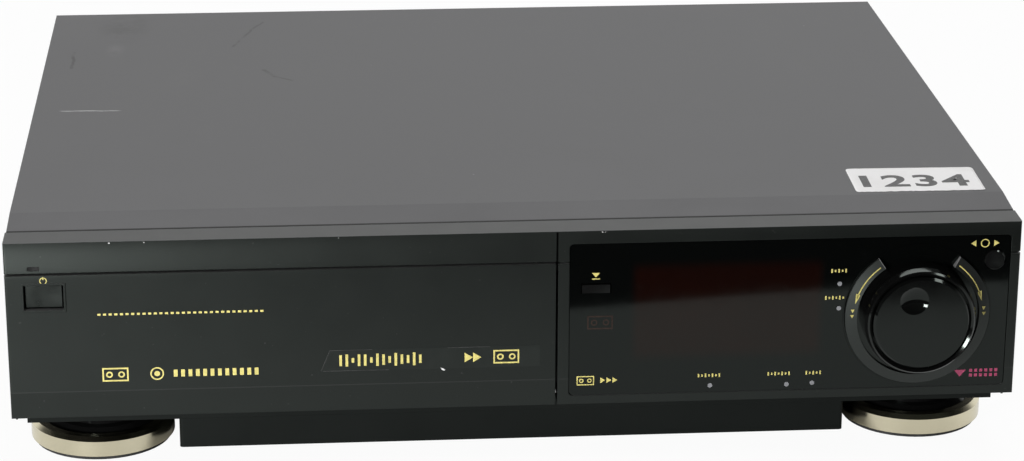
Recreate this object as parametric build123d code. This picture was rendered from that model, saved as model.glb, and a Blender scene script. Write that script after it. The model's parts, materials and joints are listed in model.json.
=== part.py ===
from build123d import *
import os
from math import atan2, cos, degrees, hypot, radians, sin

# A front-loading video cassette recorder. Millimetres, +Z up, the front faces -Y.
# The shapes are drawn with y = 0 on the front face and z = 0 on the floor. save() then moves every
# node back by CENTRE_Y, so that the finished part has its origin at the bottom centre of its box.

os.makedirs("parts", exist_ok=True)

# ---------------------------------------------------------------- case
BODY_WIDTH = 430.0
BODY_DEPTH = 355.8
FRONT_HEIGHT = 78.7
FRONT_BOTTOM = 26.3
FRONT_TOP = FRONT_BOTTOM + FRONT_HEIGHT
RIM_DEPTH = 14.5
BEZEL_WALL = 2.5
HALF = BODY_WIDTH / 2
THROUGH = 1.0

GROOVE_DROP = 13.9
GROOVE_WIDTH = 1.0
GROOVE_DEPTH = 1.0
GROOVE_Z = FRONT_TOP - GROOVE_DROP
BAND_BOTTOM = GROOVE_Z + GROOVE_WIDTH / 2
CHIN_HEIGHT = 11.9
CHIN_DEPTH = 0.6
EDGE_ROUND = 0.8

COVER_THICKNESS = 0.8
COVER_INSET = 0.5
COVER_GAP = 0.3
COVER_FOLD_Y = 35.5
COVER_RISE = 1.5
COVER_REAR_RISE = 1.0
COVER_SKIRT_BOTTOM = 20.0
COVER_SLOT_LENGTH = 34.0
COVER_SLOT_HEIGHT = 2.4
COVER_SLOT_PITCH = 5.0
COVER_SLOT_ROWS = 6
COVER_SLOT_BANKS = 3
COVER_SLOT_BANK_PITCH = 42.0
COVER_SLOT_REAR_MARGIN = 5.8
COVER_SLOT_TOP_DROP = 50.0
COVER_TOP_Z = FRONT_TOP + COVER_RISE
COVER_HALF = HALF - COVER_INSET
COVER_Y = RIM_DEPTH + COVER_GAP

PAN_INSET = 5.0
PAN_THICKNESS = 1.2
PAN_BOTTOM = 17.0
PAN_FRONT_Y = 18.0
PAN_SIDE_TOP = 40.0
PAN_LIP_TOP = 26.0
PAN_TOP = PAN_BOTTOM + PAN_THICKNESS
PAN_HALF = HALF - PAN_INSET

PLINTH_INSET = 69.7
PLINTH_BOTTOM = 2.0
PLINTH_FRONT_Y = 22.0
PLINTH_REAR_MARGIN = 37.8
PLINTH_WALL = 1.5
PLINTH_SLOT_COUNT = 7
PLINTH_SLOT_LENGTH = 60.0
PLINTH_SLOT_WIDTH = 4.0
PLINTH_SLOT_PITCH = 16.0

REAR_RECESS = 3.8
REAR_THICKNESS = 1.0
REAR_INSET = 2.0
REAR_TOP_GAP = 0.1
REAR_Y = BODY_DEPTH - REAR_RECESS
REAR_HALF = COVER_HALF - REAR_INSET
SCREW_RADIUS = 1.5
SCREW_HEAD_RADIUS = 3.6
SCREW_HEAD_HEIGHT = 2.0
SCREW_SLOT_DEPTH = 0.9
SCREW_SLOT_WIDTH = 0.8
SCREW_INSET = 14.0

# ---------------------------------------------------------------- feet
FOOT_RADIUS = 31.3
FOOT_INSET = 35.6
FOOT_X = HALF - FOOT_INSET
FOOT_FRONT_Y = 45.5
FOOT_REAR_MARGIN = 50.0
FOOT_PAD_HEIGHT = 1.9
FOOT_PAD_INSET = 1.5
FOOT_RING_HEIGHT = 8.6
FOOT_RING_BEVEL = 1.8
FOOT_RING_WALL = 5.3
FOOT_RING_FIT = 0.05
FOOT_HUB_SHOULDER = 2.5
FOOT_HUB_MID_RADIUS = 21.0
FOOT_HUB_TOP_RADIUS = 17.0

# ---------------------------------------------------------------- front flap and cassette slot
SLOT_WIDTH = 196.0
SLOT_SIDE_MARGIN = 29.0
SLOT_SPLIT_MARGIN = 6.5
SLOT_CENTRE_X = -HALF + SLOT_SIDE_MARGIN + SLOT_WIDTH / 2
SLOT_DROP = 48.0
SLOT_HEIGHT = 31.0
SLOT_BOTTOM = FRONT_TOP - SLOT_DROP
SLOT_TOP = SLOT_BOTTOM + SLOT_HEIGHT
SPLIT_X = SLOT_CENTRE_X + SLOT_WIDTH / 2 + SLOT_SPLIT_MARGIN
FLAP_GAP = 1.0
FLAP_WALL = 2.5
FLAP_AXIS_Y = 8.0
FLAP_AXIS_RISE = 4.0
HINGE_PIN_RADIUS = 1.5
HINGE_PIN_FLOAT = 0.2
RUNNING_FIT = 0.05
HINGE_SKIN = 0.8
EAR_RADIUS = 3.4
EAR_THICKNESS = 2.5
LUG_GAP = 0.6
LUG_HALF = 3.0
WELL_DEPTH = 17.5
WELL_WALL = 2.5
WELL_INSET = 1.0
FLAP_RIB_HEIGHT = 1.5
FLAP_RIB_WIDTH = 1.2
FLAP_RIB_COUNT = 5
FLAP_TOP = GROOVE_Z - GROOVE_WIDTH / 2
FLAP_RIGHT = SPLIT_X - FLAP_GAP / 2
FIXED_LEFT = SPLIT_X + FLAP_GAP / 2
FLAP_AXIS_Z = FRONT_BOTTOM + FLAP_AXIS_RISE
WELL_BACK_Y = WELL_DEPTH + WELL_WALL

# ---------------------------------------------------------------- window and keys on the right
WINDOW_SPLIT_MARGIN = 5.5
WINDOW_SIDE_MARGIN = 4.5
WINDOW_LEFT = SPLIT_X + WINDOW_SPLIT_MARGIN
WINDOW_RIGHT = HALF - WINDOW_SIDE_MARGIN
WINDOW_TOP_DROP = 6.0
WINDOW_HEIGHT = 68.5
WINDOW_RADIUS = 2.0
WINDOW_INSET = 0.4
WINDOW_THICKNESS = 1.6
WINDOW_FIT = 0.3
WINDOW_LIP = 2.2
WINDOW_FRAME = 2.5
WINDOW_TOP = FRONT_TOP - WINDOW_TOP_DROP
WINDOW_BOTTOM = WINDOW_TOP - WINDOW_HEIGHT
WINDOW_BACK_Y = WINDOW_INSET + WINDOW_THICKNESS
MOVING_GAP = 0.3
SHAFT_RADIUS = 1.5
KEY_FIT = 0.4
KEY_FLANGE = 1.0
KEY_FLANGE_THICKNESS = 1.0
OPEN_KEY_INSET = 11.05
OPEN_KEY_X = WINDOW_LEFT + OPEN_KEY_INSET
OPEN_KEY_WIDTH = 11.9
OPEN_KEY_DROP = 25.9
OPEN_KEY_HEIGHT = 3.7
OPEN_KEY_PROUD = 1.0
OPEN_KEY_TRAVEL = 1.2
MODE_INSET = 6.5
MODE_X = WINDOW_RIGHT - MODE_INSET
MODE_DROP = 17.0
MODE_RADIUS = 4.4
MODE_EDGE = 0.5
MODE_PROUD = 1.2
MODE_TRAVEL = 1.2
LENS_RADIUS = 1.0
LENS_FIT = 0.02
LENS_PROUD = 0.15
# Each lens: its distance to the left of the dial's centre, and its drop from the front's top.
LENSES = ((33.8, 26.5), (33.8, 37.6), (88.5, 71.6), (55.3, 72.0), (44.2, 71.6))

POWER_INSET = 16.0
POWER_X = -HALF + POWER_INSET
POWER_DROP = 24.2
POWER_Z = FRONT_TOP - POWER_DROP
POWER_WIDTH = 16.6
POWER_HEIGHT = 11.0
POWER_RECESS = 1.6
POWER_TRAVEL = 1.5
POWER_FRAME = 0.9
POWER_FRAME_PROUD = 0.4
POWER_LENS_SHIFT = 3.75
POWER_LENS_X = POWER_X - POWER_LENS_SHIFT
POWER_LENS_DROP = 11.35
POWER_LENS_WIDTH = 4.9
POWER_LENS_HEIGHT = 1.7
POWER_LENS_DEPTH = 3.4
POWER_LENS_INSET = 0.2

# ---------------------------------------------------------------- jog and shuttle
DIAL_INSET = 39.2
DIAL_X = WINDOW_RIGHT - DIAL_INSET
DIAL_DROP = 41.0
DIAL_Z = FRONT_TOP - DIAL_DROP
DIAL_PROUD = 12.0
JOG_RADIUS = 20.8
JOG_GAP = 0.5
JOG_EDGE = 1.0
JOG_SKIRT_DEPTH = 7.0
JOG_SKIRT_WALL = 2.0
JOG_FACE_THICKNESS = 3.0
KNOB_RADIUS = 24.0
KNOB_NOSE = 11.2
KNOB_NOSE_RADIUS = 22.4
KNOB_SHOULDER = 3.0
KNOB_EDGE = 0.7
WING_INNER = 26.5
WING_OUTER = 31.2
WING_INNER_PROUD = 3.0
WING_OUTER_PROUD = 1.3
WING_HALF_GAP = 34.0
SHUTTLE_LIFT = 0.3
SHUTTLE_WEB = 1.2
SLEEVE_RADIUS = 7.0
BUSH_RADIUS = 5.0
BUSH_SHY = 1.0
JOG_SHAFT_RADIUS = 3.0
JOG_SHAFT_SEAT = 2.0
DIMPLE_X = -3.7
DIMPLE_RISE = 10.4
DIMPLE_RADIUS = 6.2
DIMPLE_DEPTH = 2.0
ESCUTCHEON_RADIUS = 31.9
ESCUTCHEON_FIT = 0.1
ESCUTCHEON_BORE = 8.0
ENCODER_SIZE = 26.0
ENCODER_FRONT_Y = 10.0

# ---------------------------------------------------------------- front boards and display
FRONT_BOARD_Y = 22.0
FRONT_BOARD_GAP = 2.0
FRONT_BOARD_TOP_DROP = 4.0
FRONT_BOARD_SIDE_GAP = 1.0
BOARD_THICKNESS = 1.6
SWITCH_DEPTH = 1.5
SWITCH_SIZE = 6.0
SWITCH_GAP = 0.3
TUBE_INSET = 25.0
TUBE_DIAL_GAP = 39.3
TUBE_LEFT = WINDOW_LEFT + TUBE_INSET
TUBE_RIGHT = DIAL_X - TUBE_DIAL_GAP
TUBE_TOP_DROP = 12.0
TUBE_HEIGHT = 47.0
TUBE_DEPTH = 8.0
TUBE_STAND = 1.0
TUBE_LEAD_COUNT = 20
TUBE_LEAD_MARGIN = 4.1
TUBE_LEAD_WIDTH = 0.8
TUBE_LEAD_HEIGHT = 1.2
TUBE_LEAD_RISE = 2.0

# ---------------------------------------------------------------- controls behind the flap
CONTROL_WIDTH = 176.0
CONTROL_HEIGHT = 17.0
CONTROL_SLOT_GAP = 3.0
CONTROL_TOP = SLOT_BOTTOM - CONTROL_SLOT_GAP
CONTROL_BOTTOM = CONTROL_TOP - CONTROL_HEIGHT
CONTROL_THICKNESS = 3.0
CONTROL_MARGIN = 4.0
KEY_COUNT = 6
KEY_PITCH = 26.0
KEY_WIDTH = 19.0
KEY_HEIGHT = 8.0
KEY_PROUD = 2.5
KEY_EDGE = 0.6
KEY_TRAVEL = 1.0
KEY_BOARD_GAP = 1.6
KEY_BOARD_TOP_DROP = 2.0
KEY_BOARD_Y = WELL_BACK_Y + KEY_TRAVEL + KEY_FLANGE_THICKNESS + KEY_BOARD_GAP + SWITCH_DEPTH
POWER_BOARD_Y = WELL_BACK_Y + POWER_TRAVEL + KEY_FLANGE_THICKNESS + KEY_BOARD_GAP + SWITCH_DEPTH
POWER_STEM_MIN = 0.1

# ---------------------------------------------------------------- cassette transport
CASSETTE_WIDTH = 187.5
CASSETTE_HEIGHT = 25.0
CASSETTE_FIT = 0.75
CASSETTE_RISE = 3.0
BASKET_FRONT_Y = 57.0
BASKET_LENGTH = 63.0
BASKET_FLOOR_Z = SLOT_BOTTOM + CASSETTE_RISE
BASKET_SHEET = 1.2
BASKET_LIP = 14.0
BASKET_HEADROOM = 1.0
BASKET_WINDOW_MARGIN = 12.0
BASKET_DROP = 20.0
BASKET_HALF = CASSETTE_WIDTH / 2 + CASSETTE_FIT + BASKET_SHEET
BASKET_TOP = BASKET_FLOOR_Z + CASSETTE_HEIGHT + BASKET_HEADROOM
BASKET_REAR_Y = BASKET_FRONT_Y + BASKET_LENGTH
CARRIAGE_TRAVEL = 75.0
SLIDER_GAP = 0.5
SLIDER_SHEET = 1.2
SLIDER_OVER_BASKET = 8.0
SLIDER_UNDER_BASKET = 14.0
SLIDER_BOTTOM = BASKET_FLOOR_Z - SLIDER_UNDER_BASKET
SLIDER_TOP = BASKET_TOP + SLIDER_OVER_BASKET
SLIDER_HALF = BASKET_HALF + SLIDER_GAP
SIDE_GAP = 0.8
SIDE_SHEET = 1.2
SIDE_OVER_SLIDER = 3.0
SIDE_TOP = SLIDER_TOP + SIDE_OVER_SLIDER
SIDE_HALF = SLIDER_HALF + SLIDER_SHEET + SIDE_GAP
SIDE_FRONT_Y = 42.0
SIDE_REAR_MARGIN = 6.0
SIDE_FOOT = 8.0
RUNNER_PIN_RADIUS = 1.5
RUNNER_FIT = 0.1
RUNNER_DROP = 4.0
RUNNER_Z = SLIDER_TOP - RUNNER_DROP
LIFT_PIN_RISE = 12.0
LIFT_PIN_Z = BASKET_FLOOR_Z + LIFT_PIN_RISE
PIN_INSET = 8.0
PIN_YS = (BASKET_FRONT_Y + PIN_INSET, BASKET_REAR_Y - PIN_INSET)
BRIDGE_LENGTH = 17.0
DUST_AXIS_Y = 23.0
DUST_AXIS_RISE = 2.5
DUST_AXIS_Z = SLOT_TOP + DUST_AXIS_RISE
DUST_PIN_RADIUS = 1.2
DUST_ROLL = 1.0
DUST_THICKNESS = 1.5
DUST_SILL = 2.0
DUST_BOTTOM = SLOT_BOTTOM + DUST_SILL
DUST_SIDE_GAP = 1.0
DUST_LUG_HALF = 2.6
DUST_LUG_WALL = 3.0

# ---------------------------------------------------------------- deck
DECK_Z = 34.0
DECK_THICKNESS = 1.5
DECK_LEFT_REACH = 118.0
DECK_RIGHT_REACH = 108.0
DECK_LEFT = SLOT_CENTRE_X - DECK_LEFT_REACH
DECK_RIGHT = SLOT_CENTRE_X + DECK_RIGHT_REACH
DECK_FRONT_Y = 40.0
DECK_REAR_MARGIN = 18.0
DECK_REAR_Y = REAR_Y - DECK_REAR_MARGIN
DECK_TOP = DECK_Z + DECK_THICKNESS
STANDOFF_RADIUS = 3.0
STANDOFF_INSET = 8.0
STANDOFF_MIDDLE_SHIFT = 16.0
SHAFT_TIP = 0.8
REEL_SPACING = 92.0
REEL_Y = 143.0
REEL_RADIUS = 16.0
REEL_FLOAT = 1.0
REEL_FLANGE = 3.0
REEL_RIM = 4.0
REEL_STEP = 1.0
SPINDLE_RADIUS = 5.0
SPINDLE_TOP = 53.0
SPINDLE_TAPER = 2.5
SPINDLE_TIP = 3.0
SPINDLE_SHAFT_DROP = 4.0
SPLINE_COUNT = 6
SPLINE_REACH = 1.6
SPLINE_WIDTH = 1.4
IDLER_PIVOT_Y = 109.0
IDLER_ARM = 28.0
IDLER_ARM_WIDTH = 7.0
IDLER_ARM_LIFT = 0.2
IDLER_RADIUS = 24.0
IDLER_THICKNESS = 2.0
IDLER_HOLE_COUNT = 6
IDLER_HOLE_RING = 0.62
IDLER_HOLE_SHARE = 0.18

DRUM_X = SLOT_CENTRE_X
DRUM_Y = 250.0
DRUM_TILT = 5.0
DRUM_RADIUS = 31.0
DRUM_LIFT = 4.0
LOWER_DRUM_HEIGHT = 21.0
DRUM_SLIT = 1.3
UPPER_DRUM_HEIGHT = 16.0
UPPER_DRUM_EDGE = 1.0
UPPER_DRUM_RIM = 6.0
UPPER_DRUM_SLOPE = 2.0
UPPER_DRUM_DISH = 5.0
UPPER_DRUM_BOSS = 12.0
DRUM_BASE_RADIUS = 25.0
DRUM_SHAFT_RADIUS = 3.0
DRUM_SHAFT_FIT = 0.05
DRUM_SHAFT_TIP = 2.0
ROTOR_RADIUS = 23.0
ROTOR_HEIGHT = 6.5
ROTOR_DROP = 5.5
HEAD_COUNT = 4
HEAD_WIDTH = 2.4
HEAD_LENGTH = 5.0
HEAD_PROUD = 0.1

GUIDE_RADIUS = 62.0
GUIDE_START = 20.0
GUIDE_SWING = 90.0
GUIDE_BASE = 12.0
GUIDE_BASE_HEIGHT = 2.2
GUIDE_TOP = 58.0
GUIDE_ROLLER_RADIUS = 3.0
GUIDE_ROLLER_GAP = 2.0
TRACK_HEIGHT = 1.0
TRACK_WIDTH = 18.0
TRACK_OVERRUN = 8.0
TRACK_STEP_COUNT = 6

CAPSTAN_SIDE = 48.0
CAPSTAN_X = SLOT_CENTRE_X + CAPSTAN_SIDE
CAPSTAN_Y = 190.0
CAPSTAN_TOP = 58.5
CAPSTAN_RADIUS = 1.5
FLYWHEEL_RADIUS = 26.0
FLYWHEEL_BOTTOM = 21.5
FLYWHEEL_HEIGHT = 8.0
CAPSTAN_BEARING_RADIUS = 4.5
CAPSTAN_BEARING_RISE = 1.2
STATOR_RADIUS = 24.0
STATOR_HEIGHT = 2.0
PINCH_RADIUS = 6.5
PINCH_PIVOT_SIDE = 72.0
PINCH_PIVOT_X = SLOT_CENTRE_X + PINCH_PIVOT_SIDE
PINCH_PIVOT_Y = 176.8
PINCH_ARM_Z = 37.5
PINCH_ARM_THICKNESS = 2.0
PINCH_ARM_WIDTH = 6.0
PINCH_SWING = 47.5
PINCH_BOTTOM = 43.0
PINCH_TOP = 57.5

TENSION_PIVOT_SIDE = 70.0
TENSION_PIVOT_X = SLOT_CENTRE_X - TENSION_PIVOT_SIDE
TENSION_PIVOT_Y = 194.0
TENSION_ARM = 27.0
TENSION_START = -15.0
TENSION_WIDTH = 5.0

AUDIO_HEAD_SIDE = 77.0
AUDIO_HEAD_X = SLOT_CENTRE_X + AUDIO_HEAD_SIDE
AUDIO_HEAD_Y = 231.0
ERASE_HEAD_SIDE = 80.0
ERASE_HEAD_X = SLOT_CENTRE_X - ERASE_HEAD_SIDE
ERASE_HEAD_Y = 228.0
HEAD_BLOCK = 11.0
HEAD_BLOCK_TOP = 57.0
HEAD_BLOCK_LIFT = 4.0
HEAD_FOOT = 16.0
HEAD_FOOT_HEIGHT = 2.0
HEAD_STEM_INSET = 1.0

CAM_SIDE = 90.0
CAM_X = SLOT_CENTRE_X - CAM_SIDE
CAM_DECK_MARGIN = 42.0
CAM_Y = DECK_REAR_Y - CAM_DECK_MARGIN
CAM_RADIUS = 20.0
CAM_TEETH = 40
CAM_TOOTH = 1.6
CAM_GEAR_Z = 44.0
CAM_GEAR_HEIGHT = 6.0
CAM_BARREL_RADIUS = 16.0
WORM_RADIUS = 3.6
WORM_THREAD_HEIGHT = 1.0
WORM_LENGTH = 26.0
WORM_THREADS = 7
MOTOR_GAP = 2.0
MOTOR_RADIUS = 9.5
MOTOR_LENGTH = 30.0
MOTOR_SHAFT_RADIUS = 1.0
MOTOR_SHAFT_SEAT = 6.0
MOTOR_FOOT_INSET = 4.0

AMP_WIDTH = 50.0
AMP_DEPTH = 41.0
AMP_MARGIN = 8.0
AMP_TOP = 60.0
AMP_RIGHT = DECK_RIGHT - AMP_MARGIN
AMP_LEFT = AMP_RIGHT - AMP_WIDTH
AMP_REAR_Y = DECK_REAR_Y - AMP_MARGIN
AMP_FRONT_Y = AMP_REAR_Y - AMP_DEPTH
AMP_GROOVE_COUNT = 5
CAN_GROOVE_WIDTH = 3.0
CAN_GROOVE_INSET = 6.0
CAN_GROOVE_DEPTH = 0.8

# ---------------------------------------------------------------- boards on the right
BOARD_Z = 32.0
BOARD_DECK_GAP = 6.0
BOARD_SIDE_GAP = 6.0
BOARD_LEFT = DECK_RIGHT + BOARD_DECK_GAP
BOARD_RIGHT = PAN_HALF - BOARD_SIDE_GAP
BOARD_FRONT_Y = 45.0
BOARD_REAR_GAP = 4.0
BOARD_REAR_Y = REAR_Y - BOARD_REAR_GAP
BOARD_GAP = 1.0
SUPPLY_WIDTH = 77.0
SUPPLY_LENGTH = 158.0
SUPPLY_LEFT = BOARD_RIGHT - SUPPLY_WIDTH
SUPPLY_FRONT_Y = BOARD_REAR_Y - SUPPLY_LENGTH
BOARD_SPLIT = SUPPLY_LEFT - BOARD_GAP
BOARD_TOP = BOARD_Z + BOARD_THICKNESS
BOARD_POST_INSET = 6.0
PART_COLUMNS = 4
PART_ROWS = 3
PART_INSET = 20.0
PART_END = 33.0
PART_COLUMN_PITCH = (BOARD_RIGHT - BOARD_LEFT - PART_INSET - PART_END) / (PART_COLUMNS - 1)
PART_ROW_PITCH = 44.0
PART_SPACING = PART_COLUMN_PITCH / 2
CHIP_LENGTH = PART_COLUMN_PITCH / 2
CHIP_WIDTH = 16.0
CHIP_HEIGHT = 3.5
TALL_CAP_RADIUS = 4.0
TALL_CAP_HEIGHT = 12.0
SHORT_CAP_RADIUS = 3.0
SHORT_CAP_HEIGHT = 9.0
RESERVOIR_COUNT = 3
RESERVOIR_RADIUS = 9.0
RESERVOIR_HEIGHT = 26.0
RESERVOIR_STEP = 4.0
RESERVOIR_PITCH = 24.0
RESERVOIR_INSET_X = 17.0
RESERVOIR_INSET_Y = 16.0
SINK_INSET = 4.0
SINK_START = 40.0
SINK_LENGTH = 60.0
SINK_HEIGHT = 40.0
SINK_WALL = 3.0
SINK_FIN_LENGTH = 8.0
SINK_FIN_WIDTH = 1.6
SINK_FIN_PITCH = 9.0
SINK_FIN_COUNT = 7
TRANSFORMER_SIZE = 46.0
TRANSFORMER_HEIGHT = 38.0
TRANSFORMER_SIDE_GAP = 36.0
TRANSFORMER_REAR_GAP = 67.0
TRANSFORMER_X = BOARD_RIGHT - TRANSFORMER_SIDE_GAP
TRANSFORMER_Y = REAR_Y - TRANSFORMER_REAR_GAP
COIL_CUT = 7.0
COIL_INSET_X = 8.0
COIL_INSET_Y = 4.0
COIL_ROUND = 5.0

# ---------------------------------------------------------------- rear sockets
AERIAL_BOARD_MARGIN = 35.0
AERIAL_X = BOARD_SPLIT - AERIAL_BOARD_MARGIN
PHONO_AERIAL_STEP = 73.0
PHONO_X = AERIAL_X - PHONO_AERIAL_STEP
SVIDEO_PHONO_STEP = 32.0
SVIDEO_X = PHONO_X - SVIDEO_PHONO_STEP
SCART_SVIDEO_STEP = 46.0
SCART_X = SVIDEO_X - SCART_SVIDEO_STEP
SCART_WIDTH = 48.0
SCART_HEIGHT = 13.0
SCART_DEPTH = 17.0
SCART_PROUD = 2.5
SCART_Z = 76.0
SCART_PITCH = 24.0
SCART_WALL = 1.5
SCART_FLANGE_X = 3.0
SCART_FLANGE_Z = 2.0
SCART_FLOOR = 3.0
SCART_TONGUE_INSET = 6.0
SCART_TONGUE_HALF = 1.2
PHONO_RADIUS = 4.2
PHONO_PROUD = 2.8
PHONO_Z = 62.0
PHONO_PITCH = 16.0
PHONO_COLUMNS = 3
PHONO_ROWS = 2
PHONO_BODY = 12.0
PHONO_DEPTH = 10.0
PHONO_WALL = 0.9
PHONO_RING_GAP = 1.0
PHONO_BORE = 1.5
SVIDEO_RADIUS = 5.6
SVIDEO_PROUD = 1.8
SVIDEO_BODY = 14.0
SVIDEO_DEPTH = 6.0
SVIDEO_WALL = 1.0
SVIDEO_KEY_HALF = 1.6
SVIDEO_KEY_LOW = 3.0
SVIDEO_KEY_HIGH = 1.4
AERIAL_RADIUS = 4.8
AERIAL_Z = 48.0
AERIAL_PITCH = 22.0
AERIAL_PROUD = 9.0
AERIAL_WALL = 0.8
AERIAL_FLOOR = 1.0
AERIAL_PIN_RADIUS = 1.2
AERIAL_PIN_STEP = 0.8
AERIAL_PIN_SHY = 1.5
TUNER_HALF = 27.0
TUNER_LENGTH = 82.5
TUNER_OVER_AERIAL = 3.0
TUNER_LEFT = AERIAL_X - TUNER_HALF
TUNER_RIGHT = AERIAL_X + TUNER_HALF
TUNER_REAR_Y = REAR_Y - PAN_THICKNESS - MOVING_GAP
TUNER_FRONT_Y = TUNER_REAR_Y - TUNER_LENGTH
TUNER_TOP = AERIAL_Z + AERIAL_PITCH + AERIAL_RADIUS + TUNER_OVER_AERIAL
TUNER_GROOVE_COUNT = 4
TUNER_GROOVE_START = 14.0
TUNER_GROOVE_PITCH = 18.0
TUNER_GROOVE_INSET = 12.0
INLET_SIDE_MARGIN = 28.0
INLET_X = BOARD_RIGHT - INLET_SIDE_MARGIN
INLET_Z = 52.0
INLET_WIDTH = 22.0
INLET_HEIGHT = 15.0
INLET_DEPTH = 20.0
INLET_PROUD = 1.5
INLET_FLANGE = 2.0
INLET_WALL = 3.0
INLET_PIN_SPACING = 8.6
INLET_PIN_RADIUS = 1.2
INLET_PIN_SHY = 4.0
SOCKET_FIT = 0.2
CENTRE_Y = (REAR_Y + REAR_THICKNESS + AERIAL_PROUD - DIAL_PROUD) / 2


# ---------------------------------------------------------------- drawing helpers
def block(x0, x1, y0, y1, z0, z1):
    """A box between two opposite corners."""
    return Pos((x0 + x1) / 2, (y0 + y1) / 2, (z0 + z1) / 2) * Box(x1 - x0, y1 - y0, z1 - z0)


def rod_x(y, z, x0, x1, radius):
    return Pos((x0 + x1) / 2, y, z) * Rot(0, 90, 0) * Cylinder(radius, x1 - x0)


def rod_y(x, z, y0, y1, radius):
    return Pos(x, (y0 + y1) / 2, z) * Rot(90, 0, 0) * Cylinder(radius, y1 - y0)


def rod_z(x, y, z0, z1, radius):
    return Pos(x, y, (z0 + z1) / 2) * Cylinder(radius, z1 - z0)


def profile_x(points, x0, x1):
    """Extrudes an outline of (y, z) points from x0 to x1."""
    face = Plane.YZ.offset(x0) * make_face(Polyline(*points, close=True))
    return extrude(face, x1 - x0)


def turned_y(points, x, z):
    """Turns an outline of (radius, y) points about a line along Y through (x, z)."""
    return Pos(x, 0, z) * revolve(make_face(Polyline(*points, close=True)), Axis.Y)


def turned_z(points, x, y):
    """Turns an outline of (radius, z) points about an upright line through (x, y)."""
    face = Plane.XZ * make_face(Polyline(*points, close=True))
    return Pos(x, y, 0) * revolve(face, Axis.Z)


def mirrored(shape):
    """The same shape on the other side of the cassette slot's centre line."""
    return mirror(shape, about=Plane.YZ.offset(SLOT_CENTRE_X))


def save(name, *shapes):
    """Writes one node, moved so that the part's origin is at the bottom centre of its box."""
    solids = []
    for shape in shapes:
        for solid in shape.solids():
            solids.append(Pos(0, -CENTRE_Y, 0) * solid)
    whole = solids[0] if len(solids) == 1 else Compound(children=solids)
    export_step(whole, f"parts/{name}.step")


# ---------------------------------------------------------------- case
def top_cover():
    """Folded sheet: a top with a gentle fall in front of its fold, two sides and their hems."""
    rear_z = FRONT_TOP + COVER_REAR_RISE
    outline = (
        (COVER_Y, FRONT_TOP),
        (COVER_FOLD_Y, COVER_TOP_Z),
        (BODY_DEPTH, rear_z),
        (BODY_DEPTH, rear_z - COVER_THICKNESS),
        (COVER_FOLD_Y, COVER_TOP_Z - COVER_THICKNESS),
        (COVER_Y, FRONT_TOP - COVER_THICKNESS),
    )
    cover = profile_x(outline, -COVER_HALF, COVER_HALF)
    side_outline = (
        (COVER_Y, COVER_SKIRT_BOTTOM),
        (COVER_Y, FRONT_TOP - COVER_THICKNESS / 2),
        (COVER_FOLD_Y, COVER_TOP_Z - COVER_THICKNESS / 2),
        (BODY_DEPTH, rear_z - COVER_THICKNESS / 2),
        (BODY_DEPTH, COVER_SKIRT_BOTTOM),
    )
    hem_y = PAN_FRONT_Y
    hem_z = COVER_SKIRT_BOTTOM
    inner = COVER_HALF - COVER_THICKNESS
    for side in (-1, 1):
        x0, x1 = sorted((side * inner, side * COVER_HALF))
        cover += profile_x(side_outline, x0, x1)
        x0, x1 = sorted((side * PAN_HALF, side * COVER_HALF))
        cover += block(x0, x1, hem_y, REAR_Y, hem_z, hem_z + COVER_THICKNESS)
    last_y = BODY_DEPTH - COVER_SLOT_REAR_MARGIN - COVER_SLOT_LENGTH
    for bank in range(COVER_SLOT_BANKS):
        y = last_y - bank * COVER_SLOT_BANK_PITCH
        for row in range(COVER_SLOT_ROWS):
            z = FRONT_TOP - COVER_SLOT_TOP_DROP + row * COVER_SLOT_PITCH
            top = z + COVER_SLOT_HEIGHT
            cover -= block(-HALF - THROUGH, HALF + THROUGH, y, y + COVER_SLOT_LENGTH, z, top)
    return cover


def bezel_openings():
    """Everything that passes through the fixed front and the wall behind the flap."""
    back = WELL_BACK_Y + THROUGH
    half = SLOT_WIDTH / 2
    cut = block(SLOT_CENTRE_X - half, SLOT_CENTRE_X + half, -THROUGH, back, SLOT_BOTTOM, SLOT_TOP)
    half = CONTROL_WIDTH / 2 - CONTROL_MARGIN
    low = CONTROL_BOTTOM + CONTROL_MARGIN
    high = CONTROL_TOP - CONTROL_MARGIN
    cut += block(SLOT_CENTRE_X - half, SLOT_CENTRE_X + half, -THROUGH, back, low, high)
    return cut + power_key_prism(KEY_FIT, -THROUGH, back)


def power_key_prism(margin, y0, y1):
    half_w = POWER_WIDTH / 2 - 2 * KEY_FIT + margin
    half_h = POWER_HEIGHT / 2 - 2 * KEY_FIT + margin
    return block(POWER_X - half_w, POWER_X + half_w, y0, y1, POWER_Z - half_h, POWER_Z + half_h)


def window_outline(margin, y0, y1):
    """A rounded slab of the window's outline, grown by a margin."""
    slab = block(
        WINDOW_LEFT - margin,
        WINDOW_RIGHT + margin,
        y0,
        y1,
        WINDOW_BOTTOM - margin,
        WINDOW_TOP + margin,
    )
    return fillet(slab.edges().filter_by(Axis.Y), WINDOW_RADIUS)


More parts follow.
